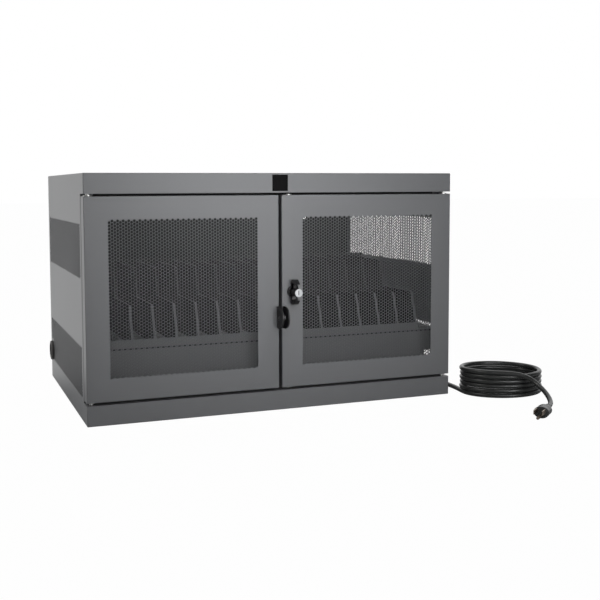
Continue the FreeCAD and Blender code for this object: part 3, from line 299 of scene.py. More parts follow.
@dataclass(frozen=True)
class Finish:
    """One finish of the cabinet: a colour, a gloss and a texture."""

    name: str
    slot: str
    colour: Colour
    roughness: float
    texture: Texture
    metallic: float = 0.0
    specular: float = 0.5
    patches: tuple[Patch, ...] = ()

    def material(self, groups: GrainGroup) -> bpy.types.Material:
        """Make the finish as a node material.

        Args:
            groups: The shared surface grains.

        Returns:
            The material.
        """
        made = bpy.data.materials.new(self.name)
        made.use_nodes = True
        nodes = made.node_tree.nodes
        link = made.node_tree.links.new
        shader = nodes["Principled BSDF"]
        grain = nodes.new("ShaderNodeGroup")
        grain.node_tree = groups.get(self.texture.grain)
        grain.inputs["Colour"].default_value = (*self.colour, 1.0)
        grain.inputs["Roughness"].default_value = self.roughness
        grain.inputs["Scale"].default_value = self.texture.scale
        grain.inputs["Spread"].default_value = self.texture.spread
        colour = self.colour
        for patch in self.patches:
            colour = patch.added(made.node_tree, colour)
        if self.patches:
            link(colour, grain.inputs["Colour"])
        bump = nodes.new("ShaderNodeBump")
        bump.inputs["Strength"].default_value = BUMP_STRENGTH
        bump.inputs["Distance"].default_value = self.texture.depth
        link(grain.outputs["Colour"], shader.inputs["Base Color"])
        link(grain.outputs["Roughness"], shader.inputs["Roughness"])
        link(grain.outputs["Height"], bump.inputs["Height"])
        link(bump.outputs["Normal"], shader.inputs["Normal"])
        shader.inputs["Metallic"].default_value = self.metallic
        shader.inputs["Specular IOR Level"].default_value = self.specular
        return made


# Slots of the record that the scene's own pieces use
CABINET_GREY = "cabinet_grey"
KNOB_BLACK = "knob_black"
CORD_BLACK = "cord_black"

# Looks of the scene's own, for solids that the picture shows lighter or darker than their slot: most of them
# colours that hold painted shade and painted highlights
INNER_PAINTED_SHADE = "inner_coat"
REAR_PAINTED_SHADE = "rear_coat"
SCREEN_PAINTED_SHADE = "screen_painted_shade"
APRON_WITH_PAINTED_SHADE = "apron_coat"
DIVIDER_SHADE_AND_HIGHLIGHT = "divider_coat"
RUBBER = "rubber"
LOOKS = {
    "rear_panel": REAR_PAINTED_SHADE,
    "device_shelf": INNER_PAINTED_SHADE,
    "shelf_brackets": INNER_PAINTED_SHADE,
    "header_rail": INNER_PAINTED_SHADE,
    "rear_jambs": INNER_PAINTED_SHADE,
    "lower_front_panel": APRON_WITH_PAINTED_SHADE,
    "left_tray": APRON_WITH_PAINTED_SHADE,
    "right_tray": APRON_WITH_PAINTED_SHADE,
    "left_dividers": DIVIDER_SHADE_AND_HIGHLIGHT,
    "right_dividers": DIVIDER_SHADE_AND_HIGHLIGHT,
    "hole_plug": RUBBER,
    "cord_gland": RUBBER,
}

OUTER_PAINT = Texture(Grain.POWDER, scale=1500.0, spread=0.06, depth=0.04 * MM)
INNER_PAINT = Texture(Grain.POWDER, scale=1500.0, spread=0.08, depth=0.04 * MM)
ENAMEL = Texture(Grain.POWDER, scale=1900.0, spread=0.08, depth=0.04 * MM)
ZINC_PLATE = Texture(Grain.BRUSHED, scale=1200.0, spread=0.12, depth=0.02 * MM)
CHROME_PLATE = Texture(Grain.BRUSHED, scale=2400.0, spread=0.05, depth=0.01 * MM)
BRASS_PLATE = Texture(Grain.BRUSHED, scale=1600.0, spread=0.08, depth=0.01 * MM)
DARK_MOULDING = Texture(Grain.MOULDED, scale=2600.0, spread=0.1, depth=0.03 * MM)
PALE_MOULDING = Texture(Grain.MOULDED, scale=2200.0, spread=0.04, depth=0.03 * MM)
SHEATH = Texture(Grain.MOULDED, scale=3000.0, spread=0.1, depth=0.02 * MM)

GREY: Colour = (0.142, 0.144, 0.149)
# A near black that stands for the shade deep inside the cabinet: painted shade.
PAINTED_SHADE: Colour = (0.026, 0.026, 0.027)

FINISHES = (
    Finish("powder_coated_steel", CABINET_GREY, GREY, 0.40, OUTER_PAINT, specular=0.55),
    # The door screens: the door's grey made darker, painted shade for the dimmer look of the punched sheet.
    Finish("punched_screen_coat", SCREEN_PAINTED_SHADE, (0.112, 0.114, 0.118), 0.40, OUTER_PAINT, specular=0.45),
    # The shelf, its brackets, the header rail and the rear jambs: painted shade all over.
    Finish("flat_inner_coat", INNER_PAINTED_SHADE, PAINTED_SHADE, 0.62, INNER_PAINT, specular=0.2),
    # The rear panel: painted shade on its faces inside, the cabinet grey on the faces that look out behind.
    Finish(
        "rear_sheet_coat", REAR_PAINTED_SHADE, (0.024, 0.024, 0.025), 0.5, INNER_PAINT, specular=0.4,
        patches=(Patch(GREY, Source.NORMAL, start=0.4, end=0.6),),
    ),
    # The apron and the trays: a grey close to the cabinet's on the front faces, painted shade on every face
    # further back.
    Finish(
        "apron_coat", APRON_WITH_PAINTED_SHADE, (0.130, 0.131, 0.133), 0.45, INNER_PAINT, specular=0.4,
        patches=(Patch(PAINTED_SHADE, Source.PLACE, start=-0.164, end=-0.155),),
    ),
    # The dividers: near black sides, painted shade; a light grey on the faces that look forward, a painted
    # highlight on their front edges; a dim grey on the parts further back, painted light that keeps the back
    # edges faintly seen.
    Finish(
        "divider_coat", DIVIDER_SHADE_AND_HIGHLIGHT, (0.018, 0.018, 0.019), 0.42, INNER_PAINT, specular=0.04,
        patches=(
            Patch((0.150, 0.153, 0.158), Source.NORMAL, start=-0.5, end=-0.8),
            Patch((0.048, 0.048, 0.049), Source.PLACE, start=-0.10, end=-0.05),
        ),
    ),
    Finish("dull_rubber", RUBBER, (0.06, 0.058, 0.055), 0.6, DARK_MOULDING),
    Finish("bright_zinc_plate", "bright_zinc", (0.66, 0.66, 0.64), 0.32, ZINC_PLATE, metallic=1.0),
    Finish("polished_chrome", "chrome", (0.44, 0.445, 0.45), 0.36, CHROME_PLATE, metallic=1.0),
    Finish("satin_black_enamel", KNOB_BLACK, (0.012, 0.012, 0.012), 0.36, ENAMEL),
    Finish("black_moulding", "black_plastic", (0.004, 0.004, 0.004), 0.5, DARK_MOULDING, specular=0.05),
    Finish("cord_sheath", CORD_BLACK, (0.030, 0.031, 0.030), 0.3, SHEATH, specular=0.7),
    Finish("outlet_moulding", "outlet_white", (0.72, 0.70, 0.66), 0.45, PALE_MOULDING),
    Finish("plated_brass", "blade_brass", (0.40, 0.33, 0.27), 0.36, BRASS_PLATE, metallic=1.0),
)


class Wardrobe:
    """Holds every finish as a material and dresses pieces with them."""

    def __init__(self) -> None:
        """Make each finish once."""
        groups = GrainGroup()
        self.by_slot = {finish.slot: finish.material(groups) for finish in FINISHES}

    def dress(self, piece: bpy.types.Object, slot: str) -> None:
        """Give a piece the finish of a record slot, or one of the scene's own.

        Args:
            piece: The piece to dress.
            slot: The record's name for the finish, or the scene's.
        """
        piece.data.materials.clear()
        piece.data.materials.append(self.by_slot[slot])

    def dress_solids(self, frame: dict) -> None:
        """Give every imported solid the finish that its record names.

        Args:
            frame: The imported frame, with its nodes and its record.
        """
        for part in frame["record"]["subparts"]:
            node = part["node"]
            self.dress(frame["nodes"][node], LOOKS.get(node, part["material_slot"]))


def new_piece(name: str, bm: bmesh.types.BMesh, smooth: bool = True) -> bpy.types.Object:
    """Turn a finished bmesh into an object at the origin.

    Args:
        name: The piece's name.
        bm: The mesh, already in its place; it is freed.
        smooth: Whether its faces shade smoothly up to sharp edges.

    Returns:
        The object.
    """
    mesh = bpy.data.meshes.new(name)
    bm.to_mesh(mesh)
    bm.free()
    if smooth:
        mesh.polygons.foreach_set("use_smooth", [True] * len(mesh.polygons))
        mesh.set_sharp_from_angle(angle=SHARP_ANGLE)
    piece = bpy.data.objects.new(name, mesh)
    bpy.context.scene.collection.objects.link(piece)
    return piece


def thicken(piece: bpy.types.Object, sheet: float) -> None:
    """Give a skin its sheet thickness, inwards.

    Args:
        piece: The piece whose mesh is a skin with its normals outwards.
        sheet: The sheet thickness.
    """
    shell = piece.modifiers.new("sheet", "SOLIDIFY")
    shell.thickness = sheet
    shell.offset = -1.0


def keep_flats(piece: bpy.types.Object) -> None:
    """Shade a piece's large flat faces truly flat, whatever rounds off beside them."""
    flats = piece.modifiers.new("flats", "WEIGHTED_NORMAL")
    flats.keep_sharp = True


def round_edges(
    bm: bmesh.types.BMesh, edges: Iterable[bmesh.types.BMEdge], radius: float, segments: int,
    clamp: bool = False,
) -> None:
    """Round edges off.

    Args:
        bm: The mesh.
        edges: The edges to round.
        radius: How far each rounding reaches.
        segments: How many flats it has.
        clamp: Whether roundings stop where they meet.
    """
    bmesh.ops.bevel(
        bm, geom=list(edges), offset=radius, segments=segments, profile=0.5, affect="EDGES", material=-1,
        clamp_overlap=clamp,
    )


@dataclass
class Perforation:
    """A staggered field of round holes in sheet, with a plain cell all round it."""

    columns: int
    rows: int
    pitch: float = 4.7077 * MM
    hole_radius: float = 2.05 * MM
    sides: int = 12
    sheet: float = 0.76 * MM
    set_back: float = 0.03 * MM
    weld: float = 0.02 * MM

    @property
    def column_step(self) -> float:
        """The distance between neighbouring columns of holes."""
        return self.pitch * math.sqrt(3) / 2

    @property
    def field(self) -> tuple[float, float]:
        """The width and height over the holes' outer edges."""
        wide = (self.columns - 1) * self.column_step + 2 * self.hole_radius
        high = (self.rows - 0.5) * self.pitch + 2 * self.hole_radius
        return wide, high

    def cell(self, bm: bmesh.types.BMesh, holed: bool, column: int, row: int) -> list:
        """Add one six-sided cell of the sheet.

        Args:
            bm: The mesh to add it to.
            holed: Whether the cell has a hole.
            column: The cell's column.
            row: The cell's row.

        Returns:
            The cell's vertices, edges and faces.
        """
        reach = self.pitch / math.sqrt(3)
        if holed:
            ring = bmesh.ops.create_circle(bm, segments=self.sides, radius=self.hole_radius)["verts"]
            rim = list({edge for vert in ring for edge in vert.link_edges})
            grown = bmesh.ops.extrude_edge_only(bm, edges=rim)["geom"]
            outer = [item for item in grown if isinstance(item, bmesh.types.BMVert)]
            bmesh.ops.scale(bm, vec=(reach / self.hole_radius,) * 2 + (1.0,), verts=outer)
            steps = [round(math.atan2(vert.co.y, vert.co.x) / HALF_CELL) for vert in outer]
            between = [vert for vert, step in zip(outer, steps) if step % 2]
            bmesh.ops.dissolve_verts(bm, verts=between)
            verts = ring + [vert for vert in outer if vert.is_valid]
        else:
            turn = Matrix.Rotation(HALF_CELL, 4, "Z")
            made = bmesh.ops.create_circle(bm, cap_ends=True, segments=CELL_SIDES, radius=reach, matrix=turn)
            verts = made["verts"]
        across = column * self.column_step
        up = (row + 0.5 * (column % 2)) * self.pitch
        bmesh.ops.translate(bm, vec=(across, up, 0), verts=verts)
        faces = {face for vert in verts for face in vert.link_faces}
        edges = {edge for vert in verts for edge in vert.link_edges}
        return verts + list(edges) + list(faces)

    @staticmethod
    def repeat(bm: bmesh.types.BMesh, geom: list, step: tuple[float, float], count: int) -> None:
        """Repeat geometry in a straight row.

        Args:
            bm: The mesh.
            geom: The geometry to repeat.
            step: The step across and up.
            count: How many there are in the end.
        """
        bmesh.ops.spin(
            bm, geom=geom, cent=(0, 0, 0), axis=(0, 0, 1), dvec=(*step, 0), angle=0.0,
            steps=count - 1, use_merge=False, use_duplicate=True,
        )

    def build(self, land: Land | None = None) -> bmesh.types.BMesh:
        """Build the flat sheet about its middle, facing +Z.

        Args:
            land: A place and radius, across and up from the middle, that is left plain.

        Returns:
            The mesh, a single skin.
        """
        bm = bmesh.new()
        for column in (0, 1):
            self.repeat(bm, self.cell(bm, True, column, 0), (0, self.pitch), self.rows)
            for row in (-1, self.rows):
                self.cell(bm, False, column, row)
        pair = bm.verts[:] + bm.edges[:] + bm.faces[:]
        self.repeat(bm, pair, (2 * self.column_step, 0), self.columns // 2)
        for column in (-1, self.columns):
            self.repeat(bm, self.cell(bm, False, column, -1), (0, self.pitch), self.rows + 2)
        bmesh.ops.remove_doubles(bm, verts=bm.verts[:], dist=self.weld)
        middle = ((self.columns - 1) * self.column_step / 2, (self.rows - 0.5) * self.pitch / 2, 0)
        bmesh.ops.translate(bm, vec=[-part for part in middle], verts=bm.verts[:])
        if land:
            centre = Vector((land[0], land[1], 0))
            near = [
                edge for edge in bm.edges
                if edge.is_boundary and (edge.verts[0].co - centre).length < land[2]
                and (edge.verts[1].co - centre).length < land[2]
            ]
            bmesh.ops.holes_fill(bm, edges=near, sides=self.sides)
        bmesh.ops.recalc_face_normals(bm, faces=bm.faces[:])
        if bm.faces[0].normal.z < 0:
            bmesh.ops.reverse_faces(bm, faces=bm.faces[:])
        return bm

    def screen(self, name: str, stand: Matrix, land: Land | None = None) -> bpy.types.Object:
        """Make the sheet as a piece.

        Args:
            name: The piece's name.
            stand: The matrix that stands it up, at the sheet's outer face.
            land: A plain place, as for build.

        Returns:
            The piece.
        """
        bm = self.build(land)
        bmesh.ops.translate(bm, vec=(0, 0, -self.set_back), verts=bm.verts[:])
        bmesh.ops.transform(bm, matrix=stand, verts=bm.verts[:])
        piece = new_piece(name, bm, smooth=False)
        thicken(piece, self.sheet)
        return piece


@dataclass
class Door:
    """A door: a folded pan with a window, and the perforated sheet in it."""

    side: Side
    edge: float = 2.4 * MM
    width: float = 297.6 * MM
    height: float = 300.0 * MM
    bottom: float = 34.5 * MM
    front: float = -200.0 * MM
    depth: float = 22.0 * MM
    sheet: float = 1.2 * MM
    bend: float = 1.5 * MM
    bend_segments: int = 4
    lip: float = 10.0 * MM
    margin: float = 1.2 * MM

    def pan(self, window: tuple[float, float]) -> bmesh.types.BMesh:
        """Fold the pan about the middle of its front face, facing +Z.

        Args:
            window: The width and height of its window.

        Returns:
            The mesh, a single skin.
        """
        bm = bmesh.new()
        bmesh.ops.create_cube(bm, size=1.0)
        bmesh.ops.scale(bm, vec=(self.width, self.height, self.depth), verts=bm.verts[:])
        bmesh.ops.translate(bm, vec=(0, 0, -self.depth / 2), verts=bm.verts[:])
        folds = [edge for edge in bm.edges if all(vert.co.z > -self.sheet for vert in edge.verts)]
        round_edges(bm, folds, self.bend, self.bend_segments)
        face = max(bm.faces, key=lambda item: item.calc_center_median().z)
        back = min(bm.faces, key=lambda item: item.calc_center_median().z)
        bmesh.ops.inset_individual(bm, faces=[face], thickness=self.lip, depth=0.0)
        for vert in face.verts:
            vert.co.x = math.copysign(window[0] / 2, vert.co.x)
            vert.co.y = math.copysign(window[1] / 2, vert.co.y)
        bmesh.ops.inset_individual(bm, faces=[back], thickness=self.lip, depth=0.0)
        bmesh.ops.delete(bm, geom=[face, back], context="FACES_ONLY")
        return bm

    @staticmethod
    def paint_rim(screen: bpy.types.Object, wardrobe: Wardrobe) -> None:
        """Paint the plain cells round a screen, which are six-sided, like the door, in the door's grey
        without the screen's painted shade.

        Args:
            screen: The screen.
            wardrobe: The finishes.
        """
        screen.data.materials.append(wardrobe.by_slot[CABINET_GREY])
        for face in screen.data.polygons:
            if len(face.vertices) == CELL_SIDES:
                face.material_index = 1

    def build(self, wardrobe: Wardrobe) -> None:
        """Make, dress and hang the door's pan and screen.

        Args:
            wardrobe: The finishes.
        """
        word = self.side.word
        holes = Perforation(columns=56, rows=49)
        wide, high = holes.field
        middle = self.side.value * (self.edge + self.width / 2)
        stand = Facing.FRONT.at((middle, self.front, self.bottom + self.height / 2))
        bm = self.pan((wide + 2 * self.margin, high + 2 * self.margin))
        bmesh.ops.transform(bm, matrix=stand, verts=bm.verts[:])
        pan = new_piece(f"{word}_door_pan", bm)
        thicken(pan, self.sheet)
        keep_flats(pan)
        screen = holes.screen(f"{word}_door_screen", stand)
        for piece in (pan, screen):
            finish_piece(piece, wardrobe, CABINET_GREY, f"{word}_door", f"{word}_door_panel")
        # the screen takes the darker grey with painted shade; its plain rim gets the door's grey below
        wardrobe.dress(screen, SCREEN_PAINTED_SHADE)
        self.paint_rim(screen, wardrobe)


@dataclass
class Vent:
    """One vent of a side panel: its hole counts and the height of its middle."""

    name: str
    columns: int
    rows: int
    middle: float


@dataclass
class SidePanel:
    """A side panel with two vents."""

    side: Side
    x: float = 300.0 * MM
    front: float = -174.0 * MM
    rear: float = 200.0 * MM
    bottom: float = 30.5 * MM
    top: float = 338.0 * MM
    sheet: float = 1.2 * MM
    margin: float = 1.2 * MM
    entry_y: float = 178.0 * MM
    entry_z: float = 52.0 * MM
    entry_land: float = 23.0 * MM
    snap: float = 0.001 * MM
    vents: tuple[Vent, ...] = (
        Vent("upper_vent", 86, 17, 253.5 * MM),
        Vent("lower_vent", 86, 16, 73.5 * MM),
    )

    def plate(self, windows: Iterable[tuple[float, float, float]]) -> bmesh.types.BMesh:
        """Cut the plate about its middle, facing +Z.

        Args:
            windows: The width, height and rise of each window.

        Returns:
            The mesh, a single skin.
        """
        bm = bmesh.new()
        bmesh.ops.create_grid(bm, x_segments=1, y_segments=1, size=0.5)
        bmesh.ops.scale(bm, vec=(self.rear - self.front, self.top - self.bottom, 1), verts=bm.verts[:])
        for wide, high, rise in windows:
            for across in (-wide / 2, wide / 2):
                self.slit(bm, (across, 0, 0), (1, 0, 0))
            for up in (rise - high / 2, rise + high / 2):
                self.slit(bm, (0, up, 0), (0, 1, 0))
        for wide, high, rise in windows:
            inside = [
                face for face in bm.faces
                if abs(face.calc_center_median().x) < wide / 2
                and abs(face.calc_center_median().y - rise) < high / 2
            ]
            bmesh.ops.delete(bm, geom=inside, context="FACES")
        return bm

    def slit(self, bm: bmesh.types.BMesh, place: Point, across: Point) -> None:
        """Cut the plate along a straight line.

        Args:
            bm: The plate.
            place: A point on the line.
            across: The direction across the line.
        """
        everything = bm.verts[:] + bm.edges[:] + bm.faces[:]
        bmesh.ops.bisect_plane(bm, geom=everything, dist=self.snap, plane_co=place, plane_no=across)

    def build(self, wardrobe: Wardrobe) -> None:
        """Make, dress and fix the plate and its two screens.

        Args:
            wardrobe: The finishes.
        """
        word = self.side.word
        facing = Facing[self.side.name]
        x = self.side.value * self.x
        middle_y = (self.front + self.rear) / 2
        middle_z = (self.bottom + self.top) / 2
        way = facing.value[0][1]
        windows = []
        pieces = []
        for vent in self.vents:
            holes = Perforation(columns=vent.columns, rows=vent.rows)
            wide, high = holes.field
            windows.append((wide + 2 * self.margin, high + 2 * self.margin, vent.middle - middle_z))
            land = (way * (self.entry_y - middle_y), self.entry_z - vent.middle, self.entry_land)
            pieces.append(holes.screen(f"{word}_{vent.name}", facing.at((x, middle_y, vent.middle)), land))
        bm = self.plate(windows)
        bmesh.ops.transform(bm, matrix=facing.at((x, middle_y, middle_z)), verts=bm.verts[:])
        plate = new_piece(f"{word}_side_plate", bm)
        thicken(plate, self.sheet)
        keep_flats(plate)
        pieces.append(plate)
        for piece in pieces:
            finish_piece(piece, wardrobe, CABINET_GREY, "cabinet", f"{word}_side_panel")


def finish_piece(piece: bpy.types.Object, wardrobe: Wardrobe, slot: str, body: str, *nodes: str) -> None:
    """Dress a piece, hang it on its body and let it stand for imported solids.

    Args:
        piece: The piece.
        wardrobe: The finishes.
        slot: The record's name for its finish.
        body: The body that it moves with.
        nodes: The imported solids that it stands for.
    """
    wardrobe.dress(piece, slot)
    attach(piece, body)
    if nodes:
        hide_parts(*nodes)
    log.info("%s on %s", piece.name, body)


@dataclass
class Knob:
    """The lock's wing knob, its tips bent forward, and the collar behind it."""

    x: float = 21.0 * MM
    z: float = 184.5 * MM
    door: float = -200.0 * MM
    collar_radius: float = 10.0 * MM
    collar_height: float = 4.0 * MM
    collar_taper: float = 0.94
    gap: float = 0.3 * MM
    hub_radius: float = 6.2 * MM
    hub_reach: float = 22.3 * MM
    wing_half: float = 19.5 * MM
    wing_width: float = 9.8 * MM
    wing_end: float = 6.2 * MM
    web_depth: float = 2.2 * MM
    lobe_reach: float = 20.0 * MM
    lobe_rise: float = 12.3 * MM
    stud_sides: int = 48
    stud_edge: float = 0.8 * MM
    stud_segments: int = 3
    wing_edge: float = 1.2 * MM
    wing_segments: int = 4
    near: float = 0.01 * MM

    def turned(
        self, bm: bmesh.types.BMesh, radius: float, end_radius: float, start: float, reach: float
    ) -> None:
        """Add a round stud with a soft front edge, along +Z.

        Args:
            bm: The mesh to add it to.
            radius: Its radius at the back.
            end_radius: Its radius at the front.
            start: Where its back is.
            reach: Where its front is.
        """
        made = bmesh.ops.create_cone(
            bm, cap_ends=True, segments=self.stud_sides, radius1=radius, radius2=end_radius,
            depth=reach - start,
            matrix=Matrix.Translation((0, 0, (start + reach) / 2)),
        )
        rim = {
            edge for vert in made["verts"] for edge in vert.link_edges
            if all(end.co.z > reach - self.near for end in edge.verts)
        }
        round_edges(bm, rim, self.stud_edge, self.stud_segments)

    def wings(self, bm: bmesh.types.BMesh) -> None:
        """Add the two wings and the web between them.

        Args:
            bm: The mesh to add them to.
        """
        back = self.collar_height + self.gap
        half = (
            (back, self.wing_half), (back + self.wing_end, self.wing_half),
            (self.lobe_reach, self.lobe_rise), (back + self.web_depth, self.lobe_rise),
        )
        outline = list(half) + [(out, -up) for out, up in reversed(half)]
        ring = [bm.verts.new((-self.wing_width / 2, up, out)) for out, up in outline]
        side = bm.faces.new(ring)
        grown = bmesh.ops.extrude_face_region(bm, geom=[side])["geom"]
        moved = [item for item in grown if isinstance(item, bmesh.types.BMVert)]
        bmesh.ops.translate(bm, vec=(self.wing_width, 0, 0), verts=moved)
        edges = {edge for vert in ring + moved for edge in vert.link_edges}
        faces = {face for vert in ring + moved for face in vert.link_faces}
        bmesh.ops.recalc_face_normals(bm, faces=list(faces))
        round_edges(bm, edges, self.wing_edge, self.wing_segments, clamp=True)

    def build(self, wardrobe: Wardrobe) -> None:
        """Make, dress and fit the knob and its collar.

        Args:
            wardrobe: The finishes.
        """
        stand = Facing.FRONT.at((self.x, self.door, self.z))
        bm = bmesh.new()
        self.turned(bm, self.hub_radius, self.hub_radius, self.collar_height + self.gap, self.hub_reach)
        self.wings(bm)
        bmesh.ops.transform(bm, matrix=stand, verts=bm.verts[:])
        knob = new_piece("wing_knob", bm)
        finish_piece(knob, wardrobe, KNOB_BLACK, "lock", "lock_knob")
        bm = bmesh.new()
        self.turned(bm, self.collar_radius, self.collar_radius * self.collar_taper, 0.0, self.collar_height)
        bmesh.ops.transform(bm, matrix=stand, verts=bm.verts[:])
        collar = new_piece("knob_collar", bm)
        finish_piece(collar, wardrobe, KNOB_BLACK, "right_door", "lock_collar")


@dataclass
class MainsLead:
    """The mains lead: out of the gland, along the floor, up the coil and down to its plug."""

    diameter: float = 7.6 * MM
    exit: Point = (338.0 * MM, 178.0 * MM, 52.0 * MM)
    coil_middle: tuple[float, float] = (388.4 * MM, -219.6 * MM)
    coil_turn: float = math.radians(-20.6)
    coil_long: float = 65.0 * MM
    coil_short: float = 52.0 * MM
    climb: float = 7.62 * MM
    turns: int = 5
    last_turn: float = math.radians(50)
    points_per_turn: int = 16
    sway: tuple[float, ...] = (0.0, -0.4 * MM, -1.4 * MM, -0.7 * MM, -1.5 * MM, -0.3 * MM, 0.0)
    lead: tuple[Point, ...] = (
        (360.0, 178.0, 52.0), (381.5, 168.5, 46.5), (394.5, 147.0, 35.5), (397.5, 119.0, 23.0),
        (391.5, 90.0, 12.6), (378.5, 60.0, 6.2), (361.5, 27.0, 4.0), (347.5, -14.0, 3.8),
        (338.0, -58.0, 3.8), (332.5, -103.0, 3.8), (330.0, -142.0, 3.8), (329.5, -176.6, 3.8),
    )
    tail: tuple[Point, ...] = (
        (367.5, -269.6, 42.9), (385.5, -281.9, 41.5), (397.6, -294.9, 35.0), (402.0, -310.4, 26.2),
        (401.8, -328.6, 17.6), (395.5, -345.9, 11.0), (384.7, -359.8, 9.0), (372.3, -369.9, 9.0),
    )

    def coil(self) -> list[Point]:
        """The coil's control points, a little outside its line, from the floor up.

        Returns:
            The points, from the end of the lead to the start of the tail.
        """
        across = math.cos(self.coil_turn), math.sin(self.coil_turn)
        start = math.pi + math.atan2(-self.coil_short * across[1], self.coil_long * across[0])
        total = self.turns * FULL_TURN + self.last_turn
        steps = math.ceil(total / FULL_TURN * self.points_per_turn)
        outside = 1.0 / (0.5 + 0.5 * math.cos(FULL_TURN / self.points_per_turn) ** 0.5)
        points = []
        for step in range(steps + 1):
            wound = total * step / steps
            angle = start + wound
            turn, share = divmod(wound / FULL_TURN, 1.0)
            ease = 0.5 - 0.5 * math.cos(math.pi * share)
            slack = self.sway[int(turn)] * (1 - ease) + self.sway[int(turn) + 1] * ease
            long = (self.coil_long + slack) * outside * math.cos(angle)
            short = (self.coil_short + slack) * outside * math.sin(angle)
            x = self.coil_middle[0] + long * across[0] - short * across[1]
            y = self.coil_middle[1] + long * across[1] + short * across[0]
            points.append((x, y, self.diameter / 2 + self.climb * wound / FULL_TURN))
        return points

    def route(self) -> list[Point]:
        """All control points of the lead, from the gland to the plug."""
        near = [tuple(part * MM for part in point) for point in self.lead]
        far = [tuple(part * MM for part in point) for point in self.tail]
        return [self.exit] + near + self.coil() + far

    def build(self, wardrobe: Wardrobe, plug: list[bpy.types.Object]) -> None:
        """Args:
            wardrobe: The finishes.
            plug: The pieces on its far end; not used.
        """
        points = self.route()
        curve = bpy.data.curves.new("mains_lead", "CURVE")
        curve.dimensions = "3D"
        curve.bevel_depth = self.diameter / 2
        curve.bevel_resolution = 5
        curve.use_fill_caps = True
        spline = curve.splines.new("NURBS")
        spline.points.add(len(points) - 1)
        for control, point in zip(spline.points, points):
            control.co = (*point, 1.0)
        spline.order_u = 3
        spline.use_endpoint_u = True
        spline.resolution_u = 6
        spline.use_smooth = True
        lead = bpy.data.objects.new("mains_lead", curve)
        bpy.context.scene.collection.objects.link(lead)
        finish_piece(lead, wardrobe, CORD_BLACK, "cabinet", "cord_lead", "cord_coil", "cord_tail")


@dataclass
class Plug:
    """The moulded plug on the lead: a ribbed relief, a shoulder and a grip, drawn as rings."""

    place: Point = (372.3 * MM, -369.87 * MM, 9.0 * MM)
    heading: float = math.radians(-140.8)
    cord_radius: float = 3.8 * MM
    relief_radius: float = 5.2 * MM
    relief_end: float = 6.0 * MM
    relief_length: float = 12.0 * MM
    ribs: int = 4
    rib_depth: float = 0.7 * MM
    grip_length: float = 28.0 * MM
    half_width: float = 11.5 * MM
    half_height: float = 8.95 * MM
    edge: float = 0.8 * MM
    segments: int = 40
    rib_shape: tuple[tuple[float, float], ...] = ((0.1, 0.0), (0.55, 0.0), (0.65, 1.0), (0.95, 1.0))
    grip_shape: tuple[tuple[float, float], ...] = (
        (0.03, 0.72), (0.09, 0.86), (0.2, 0.95), (0.34, 0.97), (0.5, 0.93), (0.7, 0.94), (0.84, 1.0),
    )
    edge_shape: tuple[tuple[float, float], ...] = ((1.0, 0.0), (0.3, 0.3), (0.0, 1.0))

    def rings(self) -> list[tuple[float, float, float]]:
        """The rings of its skin.

        Returns:
            The distance along the plug, half width and half height of each ring.
        """
        rings = [(0.0, self.relief_radius, self.relief_radius)]
        step = self.relief_length / self.ribs
        for rib in range(self.ribs):
            swell = self.relief_radius + (self.relief_end - self.relief_radius) * (rib + 1) / self.ribs
            for share, cut in self.rib_shape:
                radius = swell - cut * self.rib_depth
                rings.append(((rib + share) * step, radius, radius))
        for along, fullness in self.grip_shape:
            rings.append((
                self.relief_length + along * self.grip_length,
                self.half_width * fullness,
                self.half_height * fullness,
            ))
        front = self.relief_length + self.grip_length
        for short, inset in self.edge_shape:
            rings.append((
                front - self.edge * short,
                self.half_width - self.edge * inset,
                self.half_height - self.edge * inset,
            ))
        return rings

    def build(self, wardrobe: Wardrobe) -> bpy.types.Object:
        """Make, dress and lay down the plug's body.

        Args:
            wardrobe: The finishes.

        Returns:
            The piece.
        """
        bm = bmesh.new()
        skin = bmesh.ops.create_circle(bm, segments=self.segments, radius=self.cord_radius)["verts"]
        along, wide, high = 0.0, self.cord_radius, self.cord_radius
        for next_along, next_wide, next_high in self.rings():
            open_end = [edge for edge in bm.edges if all(vert in skin for vert in edge.verts)]
            grown = bmesh.ops.extrude_edge_only(bm, edges=open_end)["geom"]
            skin = [item for item in grown if isinstance(item, bmesh.types.BMVert)]
            bmesh.ops.scale(bm, vec=(next_wide / wide, next_high / high, 1), verts=skin)
            bmesh.ops.translate(bm, vec=(0, 0, next_along - along), verts=skin)
            along, wide, high = next_along, next_wide, next_high
        bmesh.ops.holes_fill(bm, edges=bm.edges[:], sides=self.segments)
        ahead = Vector((math.cos(self.heading), math.sin(self.heading), 0.0))
        across = Vector((0, 0, 1)).cross(ahead)
        turned = Matrix((across, Vector((0, 0, 1)), ahead)).transposed().to_4x4()
        bmesh.ops.transform(bm, matrix=Matrix.Translation(Vector(self.place)) @ turned, verts=bm.verts[:])
        bmesh.ops.recalc_face_normals(bm, faces=bm.faces[:])
        plug = new_piece("moulded_plug", bm)
        finish_piece(plug, wardrobe, CORD_BLACK, "cabinet", "plug_body")
        return plug


@dataclass(frozen=True)
class Lamp:
    """A soft oblong lamp; its power is in watts and its beam in degrees."""

    name: str
    place: Point
    aim: Point
    size: tuple[float, float]
    power: float
    colour: Colour
    beam: float = 180.0

    def hang(self) -> None:
        """Hang the lamp in its place, facing its aim."""
        light = bpy.data.lights.new(self.name, "AREA")
        light.spread = math.radians(self.beam)
        light.shape = "RECTANGLE"
        light.size, light.size_y = self.size
        light.energy = self.power
        light.color = self.colour
        stand = bpy.data.objects.new(self.name, light)
        stand.location = self.place
        ahead = Vector(self.aim) - Vector(self.place)
        stand.rotation_euler = ahead.to_track_quat("-Z", "Y").to_euler()
        bpy.context.scene.collection.objects.link(stand)


